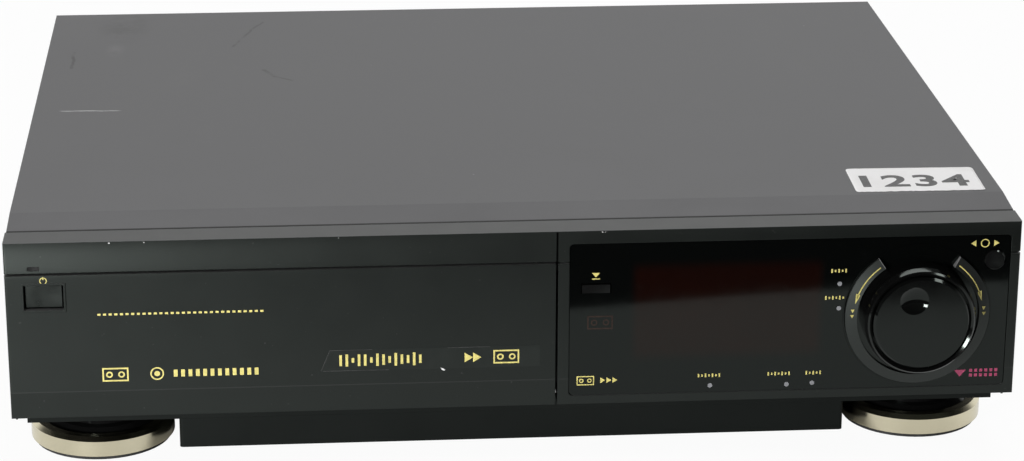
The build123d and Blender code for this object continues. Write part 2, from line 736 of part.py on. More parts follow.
def front_bezel():
    """One moulding: upper band, right frame, rim, and the well behind the flap."""
    shell = block(-HALF, HALF, 0, RIM_DEPTH, FRONT_BOTTOM, FRONT_TOP)
    shell = fillet(shell.edges().filter_by(Axis.Z).filter_by_position(Axis.Y, -1, 1), EDGE_ROUND)
    wall = BEZEL_WALL
    over = THROUGH
    rim_end = RIM_DEPTH + over
    shell -= block(-HALF + wall, HALF - wall, wall, rim_end, FRONT_BOTTOM + wall, FRONT_TOP - wall)
    shell -= block(-HALF - over, FIXED_LEFT, -over, rim_end, FRONT_BOTTOM - over, BAND_BOTTOM)
    right = FIXED_LEFT + wall
    high = BAND_BOTTOM + wall
    shell += block(-HALF + wall, right, wall, WELL_BACK_Y, BAND_BOTTOM, high)
    shell += block(FIXED_LEFT, right, wall, WELL_BACK_Y, FRONT_BOTTOM + CHIN_DEPTH, high)
    well_left = -PAN_HALF + WELL_INSET
    shell += block(well_left, right, WELL_DEPTH, WELL_BACK_Y, PAN_LIP_TOP + WELL_INSET, high)
    shell += window_outline(WINDOW_FRAME, wall / 2, WINDOW_BACK_Y + WINDOW_LIP)
    shell -= window_outline(WINDOW_FIT, -over, WINDOW_BACK_Y)
    shell -= window_outline(-WINDOW_FRAME, 0, RIM_DEPTH)
    button_room = MODE_RADIUS + KEY_FLANGE + KEY_FIT
    shell -= rod_y(MODE_X, FRONT_TOP - MODE_DROP, WINDOW_BACK_Y, RIM_DEPTH, button_room)
    groove = block(FIXED_LEFT - over, HALF + over, -over, rim_end, FLAP_TOP, BAND_BOTTOM)
    core_left = FIXED_LEFT - 2 * over
    core_high = BAND_BOTTOM + over
    core_rear = rim_end + over
    core = block(core_left, HALF - GROOVE_DEPTH, GROOVE_DEPTH, core_rear, FLAP_TOP - over, core_high)
    shell -= groove - core
    shell -= chin_wedge(FIXED_LEFT - over, HALF + over)
    shell -= power_lens_prism(0, -over, wall + over)
    shell -= bezel_openings()
    shell += left_lug(well_left)
    lug_left = left_lug_x()
    lug_right = lug_left + EAR_THICKNESS
    shell -= rod_x(FLAP_AXIS_Y, FLAP_AXIS_Z, lug_left - over, lug_right + over, HINGE_PIN_RADIUS)
    shell -= rod_x(FLAP_AXIS_Y, FLAP_AXIS_Z, FIXED_LEFT - over, right + over, HINGE_PIN_RADIUS)
    for x0, x1 in dust_lug_xs():
        rear = DUST_AXIS_Y + DUST_LUG_WALL
        low = DUST_AXIS_Z - DUST_LUG_HALF
        lug = block(x0, x1, WELL_BACK_Y - over, rear, low, DUST_AXIS_Z + DUST_LUG_HALF)
        shell += lug - rod_x(DUST_AXIS_Y, DUST_AXIS_Z, x0 - over, x1 + over, DUST_PIN_RADIUS)
    return shell


def chin_wedge(x0, x1):
    """The thin wedge that is taken off the front's lowest part, so that it leans back."""
    top = FRONT_BOTTOM + CHIN_HEIGHT
    before = -THROUGH
    outline = ((before, top), (0, top), (CHIN_DEPTH, FRONT_BOTTOM), (CHIN_DEPTH, 0), (before, 0))
    return profile_x(outline, x0, x1)


def left_lug_x():
    """The left face of the lug that carries the flap's left hinge pin."""
    return -HALF + BEZEL_WALL + LUG_GAP


def left_lug(well_left):
    """The left hinge lug with its root, which reaches over to the well's wall."""
    x0 = left_lug_x()
    x1 = x0 + EAR_THICKNESS
    low = FLAP_AXIS_Z - LUG_HALF
    high = FLAP_AXIS_Z + LUG_HALF
    arm = block(x0, x1, FLAP_AXIS_Y, WELL_BACK_Y, low, high)
    return arm + block(x0, well_left + WELL_WALL, WELL_DEPTH, WELL_BACK_Y, low, high)


def dust_lug_xs():
    """The two stretches along X of the dust flap's lugs."""
    reach = SLOT_WIDTH / 2 + LUG_GAP
    right = (SLOT_CENTRE_X + reach, SLOT_CENTRE_X + reach + EAR_THICKNESS)
    left = (SLOT_CENTRE_X - reach - EAR_THICKNESS, SLOT_CENTRE_X - reach)
    return left, right


def power_lens_prism(margin, y0, y1):
    half_w = POWER_LENS_WIDTH / 2 + margin
    half_h = POWER_LENS_HEIGHT / 2 + margin
    z = FRONT_TOP - POWER_LENS_DROP
    return block(POWER_LENS_X - half_w, POWER_LENS_X + half_w, y0, y1, z - half_h, z + half_h)


def power_lens():
    return power_lens_prism(-LENS_FIT, POWER_LENS_INSET, POWER_LENS_DEPTH)


def front_flap():
    """The drop-down door with its left return, ribs, ears and the window of the power key."""
    left = -HALF
    flap = block(left, FLAP_RIGHT, 0, FLAP_WALL, FRONT_BOTTOM, FLAP_TOP)
    flap += block(left, left + BEZEL_WALL, 0, RIM_DEPTH, FRONT_BOTTOM, FLAP_TOP)
    edges = flap.edges().filter_by(Axis.Z).filter_by_position(Axis.Y, -0.1, 0.1)
    flap = fillet(edges.filter_by_position(Axis.X, left - THROUGH, left + THROUGH), EDGE_ROUND)
    flap -= chin_wedge(left - THROUGH, FLAP_RIGHT + THROUGH)
    flap -= flap_heel(left)
    ear_x = FLAP_RIGHT - EAR_THICKNESS
    arm_low = FRONT_BOTTOM + CHIN_DEPTH
    ear = block(ear_x, FLAP_RIGHT, FLAP_WALL / 2, FLAP_AXIS_Y, arm_low, FLAP_AXIS_Z + EAR_RADIUS)
    ear += rod_x(FLAP_AXIS_Y, FLAP_AXIS_Z, ear_x, FLAP_RIGHT, EAR_RADIUS)
    flap += ear
    rib_left = left + 2 * BEZEL_WALL
    rib_step = (FLAP_RIGHT - rib_left - 2 * EAR_THICKNESS) / (FLAP_RIB_COUNT - 1)
    for index in range(FLAP_RIB_COUNT):
        x = rib_left + index * rib_step
        foot = FLAP_AXIS_Z + 2 * EAR_RADIUS
        top = POWER_Z - POWER_HEIGHT
        flap += block(x, x + FLAP_RIB_WIDTH, FLAP_WALL / 2, FLAP_WALL + FLAP_RIB_HEIGHT, foot, top)
    flap += power_window_prism(POWER_FRAME, -POWER_FRAME_PROUD, FLAP_WALL / 2)
    flap -= power_window_prism(0, -POWER_FRAME_PROUD - THROUGH, FLAP_WALL + THROUGH)
    bore = HINGE_PIN_RADIUS + RUNNING_FIT
    flap -= rod_x(FLAP_AXIS_Y, FLAP_AXIS_Z, left + HINGE_SKIN, left + BEZEL_WALL + THROUGH, bore)
    flap -= rod_x(FLAP_AXIS_Y, FLAP_AXIS_Z, ear_x - THROUGH, FLAP_RIGHT + THROUGH, bore)
    return flap


def flap_heel(left):
    """What is cut from the return's lower rear corner, so that it swings clear of the cover."""
    x0 = left - THROUGH
    x1 = left + BEZEL_WALL + THROUGH
    corner = block(x0, x1, FLAP_AXIS_Y, RIM_DEPTH + THROUGH, FRONT_BOTTOM - THROUGH, FLAP_AXIS_Z)
    return corner - rod_x(FLAP_AXIS_Y, FLAP_AXIS_Z, x0, x1, RIM_DEPTH - FLAP_AXIS_Y)


def power_window_prism(margin, y0, y1):
    """The window of the power key, through the flap."""
    half_w = POWER_WIDTH / 2 + margin
    half_h = POWER_HEIGHT / 2 + margin
    return block(POWER_X - half_w, POWER_X + half_w, y0, y1, POWER_Z - half_h, POWER_Z + half_h)


def flap_hinge_pins():
    pin_left = -HALF + HINGE_SKIN + HINGE_PIN_FLOAT
    pin_right = left_lug_x() + EAR_THICKNESS
    left = rod_x(FLAP_AXIS_Y, FLAP_AXIS_Z, pin_left, pin_right, HINGE_PIN_RADIUS)
    ear_x = FLAP_RIGHT - EAR_THICKNESS
    right = rod_x(FLAP_AXIS_Y, FLAP_AXIS_Z, ear_x, FIXED_LEFT + BEZEL_WALL, HINGE_PIN_RADIUS)
    return left, right


def bottom_pan():
    pan = block(-PAN_HALF, PAN_HALF, PAN_FRONT_Y, REAR_Y, PAN_BOTTOM, PAN_TOP)
    sheet = PAN_THICKNESS
    for side in (-1, 1):
        x0, x1 = sorted((side * (PAN_HALF - sheet), side * PAN_HALF))
        pan += block(x0, x1, WELL_BACK_Y + COVER_GAP, REAR_Y, PAN_BOTTOM, PAN_SIDE_TOP)
    pan += block(-PAN_HALF, PAN_HALF, PAN_FRONT_Y, PAN_FRONT_Y + sheet, PAN_BOTTOM, PAN_LIP_TOP)
    pan += block(-PAN_HALF, PAN_HALF, REAR_Y - sheet, REAR_Y, PAN_BOTTOM, PAN_SIDE_TOP)
    return pan


def plinth():
    """The shallow box under the case, open at the top, with cooling slots in its floor."""
    half = HALF - PLINTH_INSET
    y0 = PLINTH_FRONT_Y
    y1 = BODY_DEPTH - PLINTH_REAR_MARGIN
    wall = PLINTH_WALL
    box = block(-half, half, y0, y1, PLINTH_BOTTOM, PAN_BOTTOM)
    box = fillet(box.edges().filter_by(Axis.Z), wall)
    floor = PLINTH_BOTTOM + wall
    box -= block(-half + wall, half - wall, y0 + wall, y1 - wall, floor, PAN_BOTTOM + THROUGH)
    for index in range(PLINTH_SLOT_COUNT):
        y = (y0 + y1 - (PLINTH_SLOT_COUNT - 1) * PLINTH_SLOT_PITCH) / 2 + index * PLINTH_SLOT_PITCH
        for x in (-half / 2, half / 2):
            x0 = x - PLINTH_SLOT_LENGTH / 2
            x1 = x + PLINTH_SLOT_LENGTH / 2
            box -= block(x0, x1, y, y + PLINTH_SLOT_WIDTH, 0, floor + THROUGH)
    return box


def rear_panel():
    top = FRONT_TOP + COVER_REAR_RISE - COVER_THICKNESS - REAR_TOP_GAP
    panel = block(-REAR_HALF, REAR_HALF, REAR_Y, REAR_Y + REAR_THICKNESS, COVER_SKIRT_BOTTOM, top)
    for socket in rear_socket_holes():
        panel -= socket
    for x, z in rear_screw_places():
        panel -= rod_y(x, z, REAR_Y - THROUGH, REAR_Y + REAR_THICKNESS + THROUGH, SCREW_RADIUS)
    return panel


def rear_screw_places():
    z = PAN_SIDE_TOP - SCREW_HEAD_RADIUS - PAN_THICKNESS
    return [(-REAR_HALF + SCREW_INSET, z), (0, z), (REAR_HALF - SCREW_INSET, z)]


def cover_screws():
    """Screws through the rear panel and the pan's rear flange."""
    screws = []
    for x, z in rear_screw_places():
        y = REAR_Y + REAR_THICKNESS
        screw = rod_y(x, z, y, y + SCREW_HEAD_HEIGHT, SCREW_HEAD_RADIUS)
        screw += rod_y(x, z, y - REAR_THICKNESS, y, SCREW_RADIUS)
        reach = SCREW_HEAD_RADIUS / 2
        half = SCREW_SLOT_WIDTH / 2
        head = y + SCREW_HEAD_HEIGHT
        low = head - SCREW_SLOT_DEPTH
        screw -= block(x - reach, x + reach, low, head + THROUGH, z - half, z + half)
        screw -= block(x - half, x + half, low, head + THROUGH, z - reach, z + reach)
        screws.append(screw)
    return screws


# ---------------------------------------------------------------- feet
def foot_places():
    rear = BODY_DEPTH - FOOT_REAR_MARGIN
    return [(x, y) for y in (FOOT_FRONT_Y, rear) for x in (-FOOT_X, FOOT_X)]


def foot_pads():
    radius = FOOT_RADIUS - FOOT_PAD_INSET
    return [rod_z(x, y, 0, FOOT_PAD_HEIGHT, radius) for x, y in foot_places()]


def foot_rings():
    low = FOOT_PAD_HEIGHT
    high = low + FOOT_RING_HEIGHT
    inner = FOOT_RADIUS - FOOT_RING_WALL + FOOT_RING_FIT
    outline = (
        (inner, low),
        (FOOT_RADIUS, low),
        (FOOT_RADIUS, high - FOOT_RING_BEVEL),
        (FOOT_RADIUS - FOOT_RING_BEVEL, high),
        (inner, high),
    )
    return [turned_z(outline, x, y) for x, y in foot_places()]


def foot_hubs():
    low = FOOT_PAD_HEIGHT
    high = low + FOOT_RING_HEIGHT - FOOT_RING_BEVEL
    inner = FOOT_RADIUS - FOOT_RING_WALL
    outline = (
        (0, low),
        (inner, low),
        (inner, high),
        (FOOT_HUB_MID_RADIUS, high + FOOT_HUB_SHOULDER),
        (FOOT_HUB_TOP_RADIUS, high + FOOT_HUB_SHOULDER),
        (FOOT_HUB_TOP_RADIUS, PAN_BOTTOM),
        (0, PAN_BOTTOM),
    )
    return [turned_z(outline, x, y) for x, y in foot_places()]


# ---------------------------------------------------------------- window, keys and dial
def open_key_prism(margin, y0, y1):
    z = FRONT_TOP - OPEN_KEY_DROP
    half_w = OPEN_KEY_WIDTH / 2 + margin
    half_h = OPEN_KEY_HEIGHT / 2 + margin
    return block(OPEN_KEY_X - half_w, OPEN_KEY_X + half_w, y0, y1, z - half_h, z + half_h)


def window_panel():
    panel = window_outline(0, WINDOW_INSET, WINDOW_BACK_Y)
    back = WINDOW_BACK_Y + THROUGH
    panel -= rod_y(DIAL_X, DIAL_Z, -THROUGH, back, ESCUTCHEON_RADIUS + ESCUTCHEON_FIT)
    panel -= rod_y(MODE_X, FRONT_TOP - MODE_DROP, -THROUGH, back, MODE_RADIUS + KEY_FIT)
    panel -= open_key_prism(KEY_FIT, -THROUGH, back)
    for x, z in lens_places():
        panel -= rod_y(x, z, -THROUGH, back, LENS_RADIUS + LENS_FIT)
    return panel


def lens_places():
    return [(DIAL_X - across, FRONT_TOP - drop) for across, drop in LENSES]


def indicator_lenses():
    front = WINDOW_INSET - LENS_PROUD
    return [rod_y(x, z, front, WINDOW_BACK_Y, LENS_RADIUS) for x, z in lens_places()]


def key_stem_end(travel):
    """Where a key's stem stops at rest, short of its switch by the key's travel and a gap."""
    return FRONT_BOARD_Y - SWITCH_DEPTH - SWITCH_GAP - travel


def open_key():
    key = open_key_prism(0, WINDOW_INSET - OPEN_KEY_PROUD, WINDOW_BACK_Y + MOVING_GAP)
    flange_y = WINDOW_BACK_Y + MOVING_GAP
    key += open_key_prism(KEY_FLANGE, flange_y, flange_y + KEY_FLANGE_THICKNESS)
    z = FRONT_TOP - OPEN_KEY_DROP
    key += rod_y(OPEN_KEY_X, z, flange_y, key_stem_end(OPEN_KEY_TRAVEL), SHAFT_RADIUS)
    return key


def mode_button():
    z = FRONT_TOP - MODE_DROP
    flange_y = WINDOW_BACK_Y + MOVING_GAP
    front = WINDOW_INSET - MODE_PROUD
    outline = (
        (0, front),
        (MODE_RADIUS - MODE_EDGE, front),
        (MODE_RADIUS, front + MODE_EDGE),
        (MODE_RADIUS, flange_y),
        (MODE_RADIUS + KEY_FLANGE, flange_y),
        (MODE_RADIUS + KEY_FLANGE, flange_y + KEY_FLANGE_THICKNESS),
        (SHAFT_RADIUS, flange_y + KEY_FLANGE_THICKNESS),
        (SHAFT_RADIUS, key_stem_end(MODE_TRAVEL)),
        (0, key_stem_end(MODE_TRAVEL)),
    )
    return turned_y(outline, MODE_X, z)


def power_key():
    key = power_key_prism(0, POWER_RECESS, WELL_BACK_Y + MOVING_GAP)
    flange_y = WELL_BACK_Y + MOVING_GAP
    flange_end = flange_y + KEY_FLANGE_THICKNESS
    key += power_key_prism(KEY_FLANGE + KEY_FIT, flange_y, flange_end)
    stem_end = POWER_BOARD_Y - SWITCH_DEPTH - SWITCH_GAP - POWER_TRAVEL
    stem_end = max(stem_end, flange_end + POWER_STEM_MIN)
    return key + rod_y(POWER_X, POWER_Z, flange_y, stem_end, SHAFT_RADIUS)


def dial_escutcheon():
    """The fixed disc under the shuttle ring, flush with the window."""
    rim = rod_y(DIAL_X, DIAL_Z, WINDOW_INSET, WINDOW_BACK_Y, ESCUTCHEON_RADIUS)
    rim += rod_y(DIAL_X, DIAL_Z, WINDOW_BACK_Y, ENCODER_FRONT_Y, ESCUTCHEON_BORE + WINDOW_FRAME)
    return rim - rod_y(DIAL_X, DIAL_Z, -THROUGH, ENCODER_FRONT_Y + THROUGH, ESCUTCHEON_BORE)


def shuttle_ring():
    """The knob ring, its sleeve and the two wings with a gap between them at the top."""
    back = WINDOW_INSET - SHUTTLE_LIFT
    inner = JOG_RADIUS + JOG_GAP
    knob = (
        (inner, back),
        (KNOB_RADIUS, back),
        (KNOB_RADIUS, -KNOB_NOSE + KNOB_SHOULDER),
        (KNOB_NOSE_RADIUS + KNOB_EDGE, -KNOB_NOSE + KNOB_EDGE),
        (KNOB_NOSE_RADIUS, -KNOB_NOSE),
        (inner, -KNOB_NOSE + KNOB_EDGE),
    )
    ring = turned_y(knob, DIAL_X, DIAL_Z)
    sleeve_bore = BUSH_RADIUS + RUNNING_FIT
    knob_root = KNOB_RADIUS - EDGE_ROUND
    web_front = back - SHUTTLE_WEB
    ring += tube_y(sleeve_bore, knob_root, web_front, back)
    ring += tube_y(sleeve_bore, SLEEVE_RADIUS, back, ENCODER_FRONT_Y - MOVING_GAP)
    wing = (
        (knob_root, back),
        (WING_OUTER, back),
        (WING_OUTER, -WING_OUTER_PROUD),
        (WING_INNER, -WING_INNER_PROUD),
        (WING_INNER, web_front),
        (knob_root, web_front),
    )
    wings = turned_y(wing, DIAL_X, DIAL_Z)
    reach = 2 * WING_OUTER
    spread = reach * sin(radians(WING_HALF_GAP)) / cos(radians(WING_HALF_GAP))
    notch = make_face(Polyline((0, 0), (spread, reach), (-spread, reach), close=True))
    notch = extrude(Plane.XZ.offset(-WINDOW_INSET) * notch, reach)
    wings -= Pos(DIAL_X, 0, DIAL_Z) * (notch - rod_y(0, 0, -reach, reach, KNOB_RADIUS))
    return ring + wings


def tube_y(inner, outer, y0, y1):
    """A tube about the dial's axis."""
    outline = ((inner, y0), (outer, y0), (outer, y1), (inner, y1))
    return turned_y(outline, DIAL_X, DIAL_Z)


def jog_dial():
    """The turning disc with its skirt, its shaft and a round finger dimple."""
    front = -DIAL_PROUD
    outline = (
        (0, front),
        (JOG_RADIUS - JOG_EDGE, front),
        (JOG_RADIUS, front + JOG_EDGE),
        (JOG_RADIUS, front + JOG_SKIRT_DEPTH),
        (JOG_RADIUS - JOG_SKIRT_WALL, front + JOG_SKIRT_DEPTH),
        (JOG_RADIUS - JOG_SKIRT_WALL, front + JOG_FACE_THICKNESS),
        (JOG_SHAFT_RADIUS, front + JOG_FACE_THICKNESS),
        (JOG_SHAFT_RADIUS, ENCODER_FRONT_Y + JOG_SHAFT_SEAT),
        (0, ENCODER_FRONT_Y + JOG_SHAFT_SEAT),
    )
    dial = turned_y(outline, DIAL_X, DIAL_Z)
    ball = (DIMPLE_RADIUS**2 + DIMPLE_DEPTH**2) / (2 * DIMPLE_DEPTH)
    centre = (DIAL_X + DIMPLE_X, front - ball + DIMPLE_DEPTH, DIAL_Z + DIMPLE_RISE)
    return dial - Pos(*centre) * Sphere(ball)


def dial_encoder():
    """The housing on the front board, with the bush that carries the shuttle ring."""
    half = ENCODER_SIZE / 2
    low = DIAL_Z - half
    body = block(DIAL_X - half, DIAL_X + half, ENCODER_FRONT_Y, FRONT_BOARD_Y, low, low + ENCODER_SIZE)
    bush_end = -DIAL_PROUD + JOG_FACE_THICKNESS + BUSH_SHY
    body += rod_y(DIAL_X, DIAL_Z, bush_end, ENCODER_FRONT_Y, BUSH_RADIUS)
    bore_end = ENCODER_FRONT_Y + JOG_SHAFT_SEAT + MOVING_GAP
    return body - rod_y(DIAL_X, DIAL_Z, bush_end - THROUGH, bore_end, JOG_SHAFT_RADIUS + RUNNING_FIT)


# ---------------------------------------------------------------- front boards
def front_board():
    x0 = FIXED_LEFT + BEZEL_WALL + FRONT_BOARD_GAP
    y = FRONT_BOARD_Y
    x1 = PAN_HALF - PAN_THICKNESS - FRONT_BOARD_SIDE_GAP
    return block(x0, x1, y, y + BOARD_THICKNESS, PAN_TOP, FRONT_TOP - FRONT_BOARD_TOP_DROP)


def tact_switch(x, z, y):
    half = SWITCH_SIZE / 2
    return block(x - half, x + half, y - SWITCH_DEPTH, y, z - half, z + half)


def front_switches():
    return [
        tact_switch(OPEN_KEY_X, FRONT_TOP - OPEN_KEY_DROP, FRONT_BOARD_Y),
        tact_switch(MODE_X, FRONT_TOP - MODE_DROP, FRONT_BOARD_Y),
    ]


def display_tube():
    """A flat glass tube with its row of leads down to the board."""
    top = FRONT_TOP - TUBE_TOP_DROP
    y = FRONT_BOARD_Y - TUBE_STAND
    tube = block(TUBE_LEFT, TUBE_RIGHT, y - TUBE_DEPTH, y, top - TUBE_HEIGHT, top)
    first = TUBE_LEFT + TUBE_LEAD_MARGIN
    last = TUBE_RIGHT - TUBE_LEAD_MARGIN - TUBE_LEAD_WIDTH
    z = top - TUBE_HEIGHT + TUBE_LEAD_RISE
    for index in range(TUBE_LEAD_COUNT):
        x = first + (last - first) * index / (TUBE_LEAD_COUNT - 1)
        tube += block(x, x + TUBE_LEAD_WIDTH, y, FRONT_BOARD_Y, z, z + TUBE_LEAD_HEIGHT)
    return tube


def control_panel():
    """The strip behind the flap that the transport keys come through."""
    half = CONTROL_WIDTH / 2
    y = WELL_DEPTH - CONTROL_THICKNESS
    left = SLOT_CENTRE_X - half
    strip = block(left, left + CONTROL_WIDTH, y, WELL_DEPTH, CONTROL_BOTTOM, CONTROL_TOP)
    for x in key_xs():
        strip -= key_prism(x, KEY_FIT, y - THROUGH, WELL_DEPTH + THROUGH)
    return strip


def key_xs():
    first = SLOT_CENTRE_X - (KEY_COUNT - 1) * KEY_PITCH / 2
    return [first + index * KEY_PITCH for index in range(KEY_COUNT)]


def key_prism(x, margin, y0, y1):
    z = CONTROL_BOTTOM + CONTROL_HEIGHT / 2
    half_w = KEY_WIDTH / 2 + margin
    half_h = KEY_HEIGHT / 2 + margin
    return block(x - half_w, x + half_w, y0, y1, z - half_h, z + half_h)


def transport_key(x):
    front = WELL_DEPTH - CONTROL_THICKNESS - KEY_PROUD
    flange_y = WELL_DEPTH + MOVING_GAP
    cap = key_prism(x, 0, front, flange_y)
    cap = chamfer(cap.faces().sort_by(Axis.Y)[0].edges(), KEY_EDGE)
    cap += key_prism(x, KEY_FLANGE / 2, flange_y, flange_y + KEY_FLANGE_THICKNESS)
    z = CONTROL_BOTTOM + CONTROL_HEIGHT / 2
    end = KEY_BOARD_Y - SWITCH_DEPTH - SWITCH_GAP - KEY_TRAVEL
    return cap + rod_y(x, z, flange_y, end, SHAFT_RADIUS)


def key_board():
    half = CONTROL_WIDTH / 2
    y = KEY_BOARD_Y
    top = CONTROL_TOP - KEY_BOARD_TOP_DROP
    left = SLOT_CENTRE_X - half
    board = block(left, left + CONTROL_WIDTH, y, y + BOARD_THICKNESS, PAN_TOP, top)
    z = CONTROL_BOTTOM + CONTROL_HEIGHT / 2
    return [board] + [tact_switch(x, z, y) for x in key_xs()]


def power_board():
    """A small upright board on the pan behind the power key, with its switch."""
    y = POWER_BOARD_Y
    half = SWITCH_SIZE
    right = POWER_X + half
    board = block(POWER_X - half, right, y, y + BOARD_THICKNESS, PAN_TOP, POWER_Z + half)
    return board, tact_switch(POWER_X, POWER_Z, y)


# ---------------------------------------------------------------- cassette transport
def carriage_sides():
    """Two fixed plates on the deck, each with a straight runner slot and a foot."""
    x0 = SLOT_CENTRE_X + SIDE_HALF
    x1 = x0 + SIDE_SHEET
    rear = BASKET_REAR_Y + CARRIAGE_TRAVEL + SIDE_REAR_MARGIN
    plate = block(x0, x1, SIDE_FRONT_Y, rear, DECK_TOP, SIDE_TOP)
    plate += block(x0, x0 + SIDE_FOOT, SIDE_FRONT_Y, rear, DECK_TOP, DECK_TOP + SIDE_SHEET)
    slot = RUNNER_PIN_RADIUS + RUNNER_FIT
    first, last = PIN_YS
    slot_end = last + CARRIAGE_TRAVEL
    x0 -= THROUGH
    x1 += THROUGH
    plate -= block(x0, x1, first, slot_end, RUNNER_Z - slot, RUNNER_Z + slot)
    for y in (first, slot_end):
        plate -= rod_x(y, RUNNER_Z, x0, x1, slot)
    return plate, mirrored(plate)


def carriage_slider():
    """The frame that runs in the side plates and holds the basket's lift pins."""
    x0 = SLOT_CENTRE_X + SLIDER_HALF
    x1 = x0 + SLIDER_SHEET
    plate = block(x0, x1, BASKET_FRONT_Y, BASKET_REAR_Y, SLIDER_BOTTOM, SLIDER_TOP)
    slot = RUNNER_PIN_RADIUS + RUNNER_FIT
    pin_end = SLOT_CENTRE_X + SIDE_HALF + SIDE_SHEET
    over = THROUGH
    low = LIFT_PIN_Z - BASKET_DROP
    for y in PIN_YS:
        plate -= block(x0 - over, x1 + over, y - slot, y + slot, low, LIFT_PIN_Z)
        plate -= rod_x(y, LIFT_PIN_Z, x0 - over, x1 + over, slot)
        plate -= rod_x(y, low, x0 - over, x1 + over, slot)
        plate += rod_x(y, RUNNER_Z, x0, pin_end, RUNNER_PIN_RADIUS)
    bridge_y = BASKET_REAR_Y - BRIDGE_LENGTH
    reach = SLIDER_HALF + SLIDER_SHEET
    bridge = block(
        SLOT_CENTRE_X - reach,
        SLOT_CENTRE_X + reach,
        bridge_y,
        BASKET_REAR_Y,
        SLIDER_TOP - SLIDER_SHEET,
        SLIDER_TOP,
    )
    return plate + mirrored(plate) + bridge


def cassette_basket():
    """Side rails with lips under the cassette, joined over it by a windowed top."""
    inner = BASKET_HALF - BASKET_SHEET
    left = SLOT_CENTRE_X - BASKET_HALF
    right = SLOT_CENTRE_X + BASKET_HALF
    low = BASKET_FLOOR_Z - BASKET_SHEET
    high = BASKET_TOP + BASKET_SHEET
    basket = block(left, right, BASKET_FRONT_Y, BASKET_REAR_Y, low, high)
    middle = SLOT_CENTRE_X
    y0 = BASKET_FRONT_Y - THROUGH
    y1 = BASKET_REAR_Y + THROUGH
    basket -= block(middle - inner, middle + inner, y0, y1, BASKET_FLOOR_Z, BASKET_TOP)
    lip = inner - BASKET_LIP
    basket -= block(middle - lip, middle + lip, y0, y1, low - THROUGH, BASKET_FLOOR_Z + THROUGH)
    margin = BASKET_WINDOW_MARGIN
    y0 = BASKET_FRONT_Y + margin
    y1 = BASKET_REAR_Y - margin
    for side in (-1, 1):
        x0, x1 = sorted((middle + side * margin, middle + side * (inner - margin)))
        basket -= block(x0, x1, y0, y1, BASKET_TOP - THROUGH, high + THROUGH)
    pin = SLIDER_GAP + SLIDER_SHEET
    stop = BASKET_REAR_Y - BASKET_SHEET
    for y in PIN_YS:
        basket += rod_x(y, LIFT_PIN_Z, right, right + pin, RUNNER_PIN_RADIUS)
        basket += rod_x(y, LIFT_PIN_Z, left - pin, left, RUNNER_PIN_RADIUS)
    basket += block(left, left + BASKET_LIP, stop, BASKET_REAR_Y, low, high)
    basket += block(right - BASKET_LIP, right, stop, BASKET_REAR_Y, low, high)
    return basket


def dust_flap():
    """The inner door of the cassette slot, hung from its upper edge."""
    half = SLOT_WIDTH / 2 - DUST_SIDE_GAP
    left = SLOT_CENTRE_X - half
    right = SLOT_CENTRE_X + half
    face = WELL_BACK_Y + MOVING_GAP
    door = block(left, right, face, face + DUST_THICKNESS, DUST_BOTTOM, DUST_AXIS_Z)
    door += rod_x(DUST_AXIS_Y, DUST_AXIS_Z, left, right, DUST_PIN_RADIUS + DUST_ROLL)
    reach = DUST_SIDE_GAP + LUG_GAP + EAR_THICKNESS
    radius = DUST_PIN_RADIUS - RUNNING_FIT
    return door + rod_x(DUST_AXIS_Y, DUST_AXIS_Z, left - reach, right + reach, radius)


# ---------------------------------------------------------------- deck
def reel_xs():
    return (SLOT_CENTRE_X - REEL_SPACING / 2, SLOT_CENTRE_X + REEL_SPACING / 2)


def deck_plate():
    plate = block(DECK_LEFT, DECK_RIGHT, DECK_FRONT_Y, DECK_REAR_Y, DECK_Z, DECK_TOP)
    low = DECK_Z - THROUGH
    high = DECK_TOP + THROUGH
    plate -= rod_z(DRUM_X, DRUM_Y, low, high, 2.5 * DRUM_SHAFT_RADIUS)
    plate -= rod_z(CAPSTAN_X, CAPSTAN_Y, low, high, CAPSTAN_BEARING_RADIUS)
    for x, y, _ in deck_shaft_places():
        plate -= rod_z(x, y, low, high, SHAFT_RADIUS)
    return plate


def deck_shaft_places():
    """Each fixed shaft on the deck: x, y and top."""
    left, right = reel_xs()
    reel_top = SPINDLE_TOP - SPINDLE_SHAFT_DROP
    idler_top = DECK_TOP + REEL_FLOAT + 2 * IDLER_THICKNESS + SHAFT_TIP
    arm_top = PINCH_ARM_Z + PINCH_ARM_THICKNESS + SHAFT_TIP
    return [
        (left, REEL_Y, reel_top),
        (right, REEL_Y, reel_top),
        (SLOT_CENTRE_X, IDLER_PIVOT_Y, idler_top),
        (PINCH_PIVOT_X, PINCH_PIVOT_Y, arm_top),
        (TENSION_PIVOT_X, TENSION_PIVOT_Y, arm_top),
        (CAM_X, CAM_Y, CAM_GEAR_Z + CAM_GEAR_HEIGHT + SHAFT_TIP),
    ]


def deck_shafts():
    return [rod_z(x, y, DECK_Z, top, SHAFT_RADIUS) for x, y, top in deck_shaft_places()]


def deck_standoffs():
    inset = STANDOFF_INSET
    middle = (DECK_FRONT_Y + DECK_REAR_Y) / 2 + STANDOFF_MIDDLE_SHIFT
    xs = (DECK_LEFT + inset, DECK_RIGHT - inset)
    ys = (DECK_FRONT_Y + inset, middle, DECK_REAR_Y - inset)
    return [rod_z(x, y, PAN_TOP, DECK_Z, STANDOFF_RADIUS) for x in xs for y in ys]


